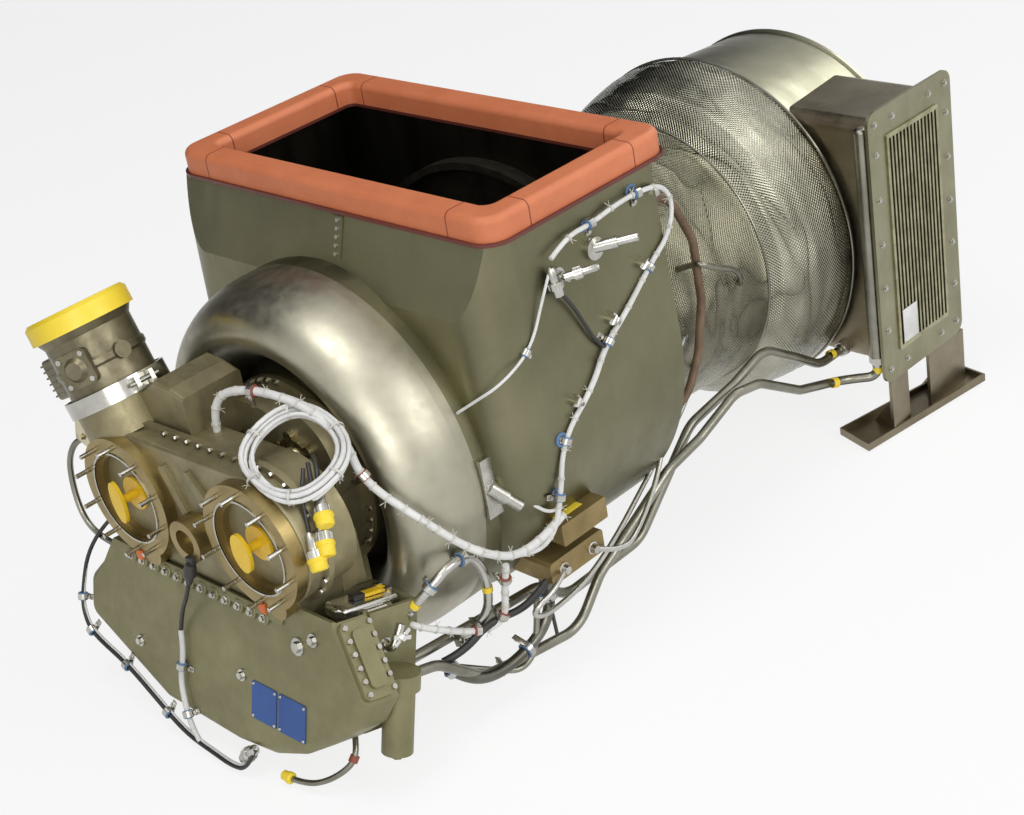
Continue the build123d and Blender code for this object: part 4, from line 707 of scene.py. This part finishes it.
harness = [cable("harness_main", GEARBOX_RUN, 6.0, sleeve_white, swell=dice),
           cable("harness_wall", WALL_RUN, 3.9, sleeve_white, swell=dice),
           cable("harness_branch", BRANCH_RUN, 5, sleeve_white, swell=dice)]
rise = ACROSS.cross(ALONG).normalized()
turns = [COIL_MIDDLE + side * (1 + outset) / CORNER_CUT + rise * lift
         for outset, lift in COIL_TURNS for side in (ACROSS, ALONG, -ACROSS, -ALONG)]
coil_run = [COIL_START] + turns[1:] + [COIL_END]
harness.append(cable("harness_coil", coil_run, 3.4, sleeve_white, swell=dice))
for made in harness:
    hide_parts("wiring_harness")

knots = bmesh.new()
for route, radius, gap in ((GEARBOX_RUN, 6.2, 27), (WALL_RUN, 4.1, 46), (BRANCH_RUN, 5.2, 24)):
    for spot, way in walk(route, gap, 12):
        tie(knots, spot, way, radius, dice)
for angle in (0.5, 1.4, 2.6, 3.7, 4.8, 5.7):
    spot = COIL_MIDDLE + ACROSS * math.cos(angle) + ALONG * math.sin(angle)
    way = (ALONG * math.cos(angle) - ACROSS * math.sin(angle)).normalized()
    tie(knots, spot, way, COIL_BUNDLE_R, dice)
string_pale = finish("waxed_string", (0.50, 0.48, 0.42), (0.66, 0.64, 0.58), metallic=0.0, gloss=(0.5, 0.7))
ties = piece("harness_ties", knots, string_pale)
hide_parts("wiring_harness")
print("ties:", len(ties.data.polygons), "faces")

# %% [markdown]
# Every cable that runs along the engine is held by loop clamps: a thin steel strap closed round a rubber
# cushion, with one screw through its foot. The blue cushions resist fuel, the red-brown ones heat. On the
# intake's side a blue standoff disc sits on the sheet under each clamp.

# %% Loop clamps and thin leads on the intake's side
SIDE_R, SIDE_MIDDLE_Z, NECK_X = 358, 70, 340
DISC = ((-3, 0), (-3, 11), (2, 11), (3, 10), (3, 7), (1.5, 6.5), (1.5, 0))


def wall_disc(y, z, route, radius):
    """A blue standoff disc on the intake's round side, with a screw, and a loop clamp for its lead."""
    foot = max(math.sqrt(SIDE_R ** 2 - (z - SIDE_MIDDLE_Z) ** 2), NECK_X if z > SIDE_MIDDLE_Z else 0)
    seat = Vector((foot, y, z))
    turned(blue_cushions, seat, seat + Vector((1, 0, 0)), DISC)
    hex_screw(straps, seat + Vector((1.5, 0, 0)), (1, 0, 0), 4, 3)
    hold(blue_cushions, route, seat, radius, wall=(1, 0, 0))


THIN_LEAD = ((356, 146, 306), (354, 124, 268), (352, 90, 206), (352, 26, 182), (306, 10, 150), (266, 6, 122))
DARK_LEAD = ((360, 152, 268), (358, 172, 242), (358, 190, 205), (359, 212, 158), (360, 224, 149))
BRACKET_LEAD = ((314, 42, -12), (330, 60, -36), (344, 84, -62), (352, 96, -52))
cable("thin_lead", THIN_LEAD, 2.2, sleeve_white)
cable("dark_lead", DARK_LEAD, 3, black_rubber)
cable("bracket_lead", BRACKET_LEAD, 2.8, sleeve_white)
wall_disc(95, 183, THIN_LEAD, 2.4)
for y, z in ((112, 52), (100, -36), (239, 142), (339, 226), (339, 340), (240, 327)):
    wall_disc(y, z, WALL_RUN, 4.4)
for target in ((61, -178, 200), (226, -148, 90)):
    hold(red_cushions, GEARBOX_RUN, target, 6.4, (0, 0.2, -1))
for target in ((320, -14, -117), (316, -16, -190), (298, -63, -203)):
    hold(red_cushions, BRANCH_RUN, target, 5.4, (-1, 0.3, 0.2))
print("side wall clamps placed")

# %% [markdown]
# Three spare connectors hang beside the right pad, closed with yellow transport caps. A connector is a
# turned back shell, a coupling ring with a knurled edge, and the cap pressed over the ring. The other
# three, at the bottom of the sump and on the intake's two sensors, are plain plated steel.

# %% Connectors with yellow caps
KNURLS = 12
cap_parts, shell_parts = bmesh.new(), bmesh.new()


def connector(tip, back, capped=True, size=1.0):
    """A round cable connector whose open end lies at tip."""
    length = (Vector(tip) - Vector(back)).length
    body, ring = 8 * size, 11.5 * size
    shell = [(0, 0), (0, 5 * size), (5, body), (length * 0.45, body), (length * 0.47, ring),
             (length * 0.72, ring), (length * 0.72, ring * 0.8), (length * 0.97, ring * 0.8),
             (length * 0.97, 0)]
    turned(shell_parts, back, tip, shell, 24)
    place = on_line(back, tip)
    for step in range(KNURLS):
        angle = step * math.tau / KNURLS
        rim = Vector((math.cos(angle), math.sin(angle), 0)) * ring
        rib = [place @ ((rim + Vector((0, 0, length * share))) * MM) / MM for share in (0.49, 0.70)]
        bar(shell_parts, *rib, 0.8)
    if capped:
        cap = [(length * 0.66, ring * 0.8), (length * 0.66, ring * 1.16), (length * 0.70, ring * 1.24),
               (length * 0.76, ring * 1.24), (length * 0.78, ring * 1.14), (length - 2.5, ring * 1.1),
               (length, ring * 0.92), (length, 0)]
        turned(cap_parts, back, tip, cap, 28)


connector((266, -250, 79), (230, -226, 112))
connector((270, -262, 39), (236, -236, 86))
connector((268, -277, 24), (240, -262, 68))
cable("spare_lead_1", ((196, -196, 140), (212, -206, 136), (224, -216, 124), (231, -226, 111)), 3.6,
      black_rubber)
cable("spare_lead_2", ((200, -210, 138), (220, -226, 122), (230, -232, 104), (237, -237, 85)), 3.2,
      black_rubber)
cable("spare_lead_3", ((204, -222, 136), (224, -250, 112), (234, -256, 90), (241, -262, 67)), 3.0,
      black_rubber)
connector((72, -352, -330), (110, -352, -296), capped=False)
connector((360, 150, 262), (356, 146, 306), capped=False, size=0.9)
connector((366, 158, 288), (400, 196, 296), capped=False, size=0.7)
piece("spare_caps", cap_parts, cap_yellow)
piece("connector_shells", shell_parts, turned_steel)
print("connectors placed")

# %% [markdown]
# The front of the sump carries its own small wiring. A cable comes down between the pads, changes from a
# black lead to a white sleeve, and joins the line of thin leads that follows the sump's lower edge. At
# the left a steel tube loops down from a small bracket. The sump leans with the engine, so the clamps
# stand on a face that looks a little upwards.

# %% Cables on the sump's face
FRONT_CABLE = ((6, -318, -40), (-14, -320, -88), (-52, -316, -134), (-66, -318, -172), (-60, -327, -205),
               (-67, -339, -243), (-58, -349, -276), (-40, -360, -312), (-20, -364, -330))
EDGE_CABLE = ((-262, -262, -60), (-322, -286, -110), (-331, -326, -205), (-312, -338, -239),
              (-287, -342, -254), (-205, -347, -272), (-124, -356, -304), (-83, -361, -320),
              (-43, -364, -332), (19, -366, -337), (60, -368, -339), (95, -366, -332), (111, -353, -297))
LEFT_TUBE = ((-262, -238, 66), (-318, -252, 60), (-356, -262, 20), (-362, -268, -40), (-344, -274, -92),
             (-292, -276, -112), (-250, -270, -116))
WIRE_BESIDE = Vector((2, 3, 5))
SUMP_LEAN = math.radians(16.5)
FACE_WAY = Vector((0, -math.cos(SUMP_LEAN), math.sin(SUMP_LEAN)))

cable("front_cable_sleeve", FRONT_CABLE[3:], 4.2, sleeve_white, swell=dice)
cable("front_cable_lead", FRONT_CABLE[:4], 3.4, black_rubber)
cable("edge_cable", EDGE_CABLE, 3.2, black_rubber)
cable("edge_wire", [Vector(spot) + WIRE_BESIDE for spot in EDGE_CABLE], 1.8, sleeve_white)
cable("left_tube", LEFT_TUBE, 5, tube_steel)
for target in ((-331, -326, -200), (-300, -340, -247), (-205, -347, -272), (-100, -358, -312)):
    hold(blue_cushions, EDGE_CABLE, target, 4.4, wall=FACE_WAY)
for target in ((-64, -334, -228), (-48, -355, -296)):
    hold(blue_cushions, FRONT_CABLE, target, 4.4, wall=FACE_WAY)
sockets = bmesh.new()
turned(sockets, (10, -316, -30), (-4, -319, -66),
       [(0, 0), (0, 7), (8, 9.5), (22, 9.5), (24, 7), (38, 5), (38, 0)])
block(sockets, (8, -313, -26), (16, 10, 12), edge=2)
piece("front_cable_socket", sockets, dark_box)
bracket = bmesh.new()
block(bracket, (-268, -270, 92), (44, 3, 62), Matrix.Rotation(0.35, 4, "Y"), 1)
block(bracket, (-252, -262, 60), (16, 18, 20), edge=2)
hex_screw(bracket, (-262, -272, 100), (0, -1, 0))
hex_screw(bracket, (-276, -272, 78), (0, -1, 0))
piece("left_bracket", bracket, cover_gold)
print("front wiring placed")

# %% [markdown]
# The right flank of the sump is the crowded place: a large dark oil tube, a braided loop, a small tube, a
# black hose, a thin rod and a drain line with a yellow cap share the room round the filler. The larger
# ones end in flared fittings, which are a hexagon nut and a sleeve, and thin yellow bands mark the lines
# that carry oil.

# %% Tubes and hoses at the filler
yellow_bands, fittings = bmesh.new(), bmesh.new()


def band(route, target, radius, width=9):
    """A thin marking band round a tube."""
    spot, way = nearest(route, target)
    outer = radius + 0.8
    turned(yellow_bands, spot - way * width / 2, spot,
           [(0, radius), (0, outer), (width, outer), (width, radius)])


def flare_nut(seat, way, radius):
    """A hexagon nut with its sleeve, where a tube screws on."""
    seat, way = Vector(seat), Vector(way).normalized()
    bar(fittings, seat, seat + way * radius * 1.5, radius * 1.75)
    sleeve = [(1.4, 1), (1.4, 1.35), (2.3, 1.2), (2.3, 1)]
    turned(fittings, seat, seat + way, [(radius * along, radius * out) for along, out in sleeve])


BIG_OIL_TUBE = ((296, 92, -150), (300, 84, -196), (300, 92, -240), (300, 52, -282), (300, -40, -292),
                (290, -96, -262), (272, -112, -232))
BRAIDED_LOOP = ((262, -150, -128), (292, -121, -88), (300, -86, -66), (300, -40, -74), (302, -22, -128),
                (298, -34, -196), (272, -72, -214))
SMALL_TUBE = ((300, 64, -212), (300, 52, -286), (296, 20, -318), (282, -20, -300), (262, -80, -262))
DARK_HOSE = ((322, 86, -170), (316, 40, -206), (306, -40, -190), (300, -90, -214), (282, -118, -222))
ROD = ((306, 79, -172), (306, 84, -232), (304, 89, -294))
DRAIN_LINE = ((236, -262, -262), (258, -280, -276), (262, -296, -296), (236, -322, -318), (196, -336, -334),
              (164, -340, -334))
ELBOW = ((266, -205, -140), (276, -205, -140), (290, -205, -140), (290, -190, -124), (290, -182, -112))
dark_tube = finish("dark_tube_steel", (0.085, 0.082, 0.066), (0.190, 0.184, 0.155), gloss=(0.28, 0.42),
                   patch=14, rise=0.08)
cable("big_oil_tube", BIG_OIL_TUBE, 9, dark_tube)
cable("braided_loop", BRAIDED_LOOP, 7, alloy)
cable("small_oil_tube", SMALL_TUBE, 5, tube_steel)
cable("dark_hose", DARK_HOSE, 6, black_rubber)
cable("control_rod", ROD, 3, dark_box)
cable("drain_line", DRAIN_LINE, 4.5, tube_steel)
band(BRAIDED_LOOP, (302, -24, -142), 7.2)
band(SMALL_TUBE, (300, 50, -280), 5.1)
band(BRAIDED_LOOP, (270, -138, -112), 7.2)
for route, target, radius in ((BRAIDED_LOOP, (300, -60, -68), 7.4), (BRAIDED_LOOP, (290, -120, -90), 7.4),
                              (BIG_OIL_TUBE, (300, 86, -222), 9.3), (BIG_OIL_TUBE, (300, 30, -288), 9.3),
                              (BIG_OIL_TUBE, (280, -104, -248), 9.3), (SMALL_TUBE, (284, -16, -302), 5.4)):
    hold(blue_cushions, route, target, radius, (-1, 0, 0.3))
for seat, way, radius in (((264, -205, -140), (1, 0, 0), 7), ((271, -72, -214), (1, 0.2, 0.2), 7),
                          ((262, -150, -128), (0.5, 0.4, 0.6), 6.5), ((298, -198, -189), (0, 0, -1), 7)):
    flare_nut(seat, way, radius)

drain_ring = bmesh.new()
spot, way = nearest(DRAIN_LINE, (262, -292, -290))
turned(drain_ring, spot - way * 5, spot, [(0, 4.4), (0, 7), (10, 7), (10, 4.4)])
piece("drain_ring", drain_ring, clamp_red)
drain_cap = bmesh.new()
turned(drain_cap, (168, -340, -333.5), (150, -341, -333.5),
       [(0, 0), (0, 7), (2, 9), (8, 9), (9, 8), (18, 7.4), (20, 5.5), (20, 0)], 24)
piece("drain_cap", drain_cap, cap_yellow)
cable("filler_elbow", ELBOW, 7, polished)
levers = bmesh.new()
for lean in (-0.5, 0.35):
    block(levers, (297, -190, -128), (3, 34, 7), Matrix.Rotation(lean, 4, "X"), 1.2)
turned(levers, (288, -190, -128), (302, -190, -128), [(0, 0), (0, 6), (12, 6), (14, 4), (14, 0)], 18)
piece("valve_levers", levers, cap_chrome)
print("tubes at the filler placed")

# %% [markdown]
# The oil cooler is bolted through its face plate, and its tubes end in large nuts with yellow bands. A
# bare label and a row of screws are all that breaks the plate's plain sheet. The small box on the
# intake's side has a bare yellow label on its edge, and a small orange tag hangs at the foot of each pad.
# Labels stay empty here, because this unit belongs to nobody.

# %% Cooler, box and pad details
PLATE_X = 360
SUPPLY_END = ((290, 737, -193), (290, 850, -229), (339, 893, -229))
RETURN_END = ((260, 775, -156), (260, 835, -198), (260, 908, -198))
HEADER_END = ((339, 893, -229), (339, 893, -190))
screws, white_labels, yellow_labels, tags = bmesh.new(), bmesh.new(), bmesh.new(), bmesh.new()
screw_spots = [(y, z) for y in (902, 1106) for z in (-214, -140, -60, 20, 100, 180, 232)]
screw_spots += [(y, z) for y in (952, 1058) for z in (-216, 230)]
for y, z in screw_spots:
    hex_screw(screws, (PLATE_X, y, z), (1, 0, 0), 4.2, 3)
block(white_labels, (364.2, 962, -150), (1.2, 42, 62), edge=0.4)
block(yellow_labels, (318, 128, -86), (34, 52, 1.2), edge=0.4)
band(SUPPLY_END, (290, 822, -219), 8.1, 11)
band(RETURN_END, (260, 868, -198), 8.1, 11)
band(HEADER_END, (339, 893, -216), 8.1, 11)
flare_nut((339, 893, -190), (0, 0, -1), 8)
flare_nut((260, 908, -198), (0, -1, 0), 8)
for x, z in ((-148.2, 23.5), (146.4, 32.5)):
    block(tags, (x - 4, -301.5, z - 99), (15, 4, 17), edge=1)
    turned(screws, (x, -300, z), (x, -301, z), [(0, 72), (0, 75), (1.6, 75), (1.6, 72)], 90)
piece("plate_screws", screws, turned_steel)
piece("bare_white_label", white_labels, sleeve_white)
piece("bare_yellow_label", yellow_labels, cap_yellow)
tag_orange = finish("tag_orange", (0.55, 0.10, 0.02), (0.72, 0.17, 0.04), metallic=0.0, gloss=(0.4, 0.6))
piece("pad_tags", tags, tag_orange)
print("labels and screws placed")

# %% [markdown]
# The sump's other details are placed in its own leaning frame: x stays x, the second number runs
# back along the sump and the third runs up. The filler's cap wears a bright rounded shell, and a black
# latch sits on its lever; each of them rides on the body that moves it.

# %% Sump details
LEAN = Matrix.Rotation(-SUMP_LEAN, 4, "X")
LUG_UP = -176


def oil(x, back, up):
    """A place in the sump's leaning frame, in mm."""
    return Vector((x, back * math.cos(SUMP_LEAN) + up * math.sin(SUMP_LEAN),
                   up * math.cos(SUMP_LEAN) - back * math.sin(SUMP_LEAN)))


sump_screws, sump_lugs = bmesh.new(), bmesh.new()
for middle, half in ((123, 24), (185.5, 26)):
    for x in (middle - half, middle + half):
        for up in (-335, -285):
            turned(sump_screws, oil(x, -249.4, up), oil(x, -250.4, up),
                   [(0, 0), (0, 2.8), (1, 2.6), (1.8, 1.6), (1.8, 0)], 14)
for x in range(-196, 152, 29):
    turned(sump_lugs, oil(x, -246, LUG_UP), oil(x, -250, LUG_UP),
           [(0, 0), (0, 11), (6, 11), (7, 10), (7, 0)])
    hex_screw(sump_screws, oil(x, -253, LUG_UP), oil(0, -1, 0), 4.6, 4)
block(sump_lugs, oil(-22, -249, -168), (372, 5, 14), LEAN, 1.5)
piece("sump_flange_lugs", sump_lugs, cast_olive)
piece("sump_screws", sump_screws, turned_steel)

latch, cap_edge = bmesh.new(), bmesh.new()
block(latch, oil(222, -166, -133), (15, 20, 8), LEAN, 1.5)
piece("lever_latch", latch, black_rubber, body="filler_lever")
block(cap_edge, oil(222, -156, -144), (46, 102, 13), LEAN, 5.5, 4)
block(cap_edge, oil(222, -209, -146), (22, 10, 12), LEAN, 1.5)
piece("cap_shell", cap_edge, cap_chrome, body="filler_cap")
print("sump details placed")

# %% [markdown]
# Behind the intake the core is crossed by two ignition leads from the box on the intake's side and by a
# drain tube that leaves the foil wrap. Two flanges carry the compressor's casing, each with an even ring
# of bolts, and a collar closes each end of the brown hose. The clamps, bands and fittings made on the way
# are put down here as one piece each.

# %% Core engine details
FLANGE_BOLTS = 36
flange_bolts = bmesh.new()
for step in range(FLANGE_BOLTS):
    angle = step * math.tau / FLANGE_BOLTS
    around = Vector((math.cos(angle), 0, math.sin(angle)))
    hex_screw(flange_bolts, around * 214 + Vector((0, 396.5, 0)), (0, 1, 0), 3.8, 4)
    bar(flange_bolts, around * 211 + Vector((0, 512, 0)), around * 211 + Vector((0, 507, 0)), 3.2)
for y in (404, 500):
    turned(flange_bolts, (230, y, 251), (230, y + 10, 251), [(0, 7.2), (0, 9), (10, 9), (10, 7.2)], 24)
piece("flange_bolts", flange_bolts, turned_steel)
cable("wrap_drain_tube", ((205, 560, 92), (236, 560, 106), (262, 556, 116), (268, 580, 100), (262, 640, 70),
                          (248, 668, 40), (232, 680, 20)), 5, tube_steel)
cable("ignition_lead_1", ((338, 96, -166), (352, 60, -176), (340, 10, -196), (322, 60, -236),
                          (300, 200, -240), (262, 400, -160), (236, 540, -96), (214, 566, -70)), 4.2, alloy)
cable("ignition_lead_2", ((338, 160, -166), (356, 200, -190), (330, 270, -196), (290, 380, -150),
                          (240, 480, -40), (222, 566, -2), (206, 566, 0)), 4.2, alloy)
box_sockets = bmesh.new()
for y in (96, 160):
    turned(box_sockets, (332, y, -166), (346, y, -166),
           [(0, 0), (0, 10), (5, 10), (6, 8), (14, 6), (14, 0)])
piece("box_sockets", box_sockets, turned_steel)
piece("blue_cushions", blue_cushions, cushion_blue)
piece("red_cushions", red_cushions, clamp_red)
piece("clamp_straps", straps, turned_steel)
piece("marking_bands", yellow_bands, cap_yellow)
piece("tube_fittings", fittings, turned_steel)
print("core details placed")
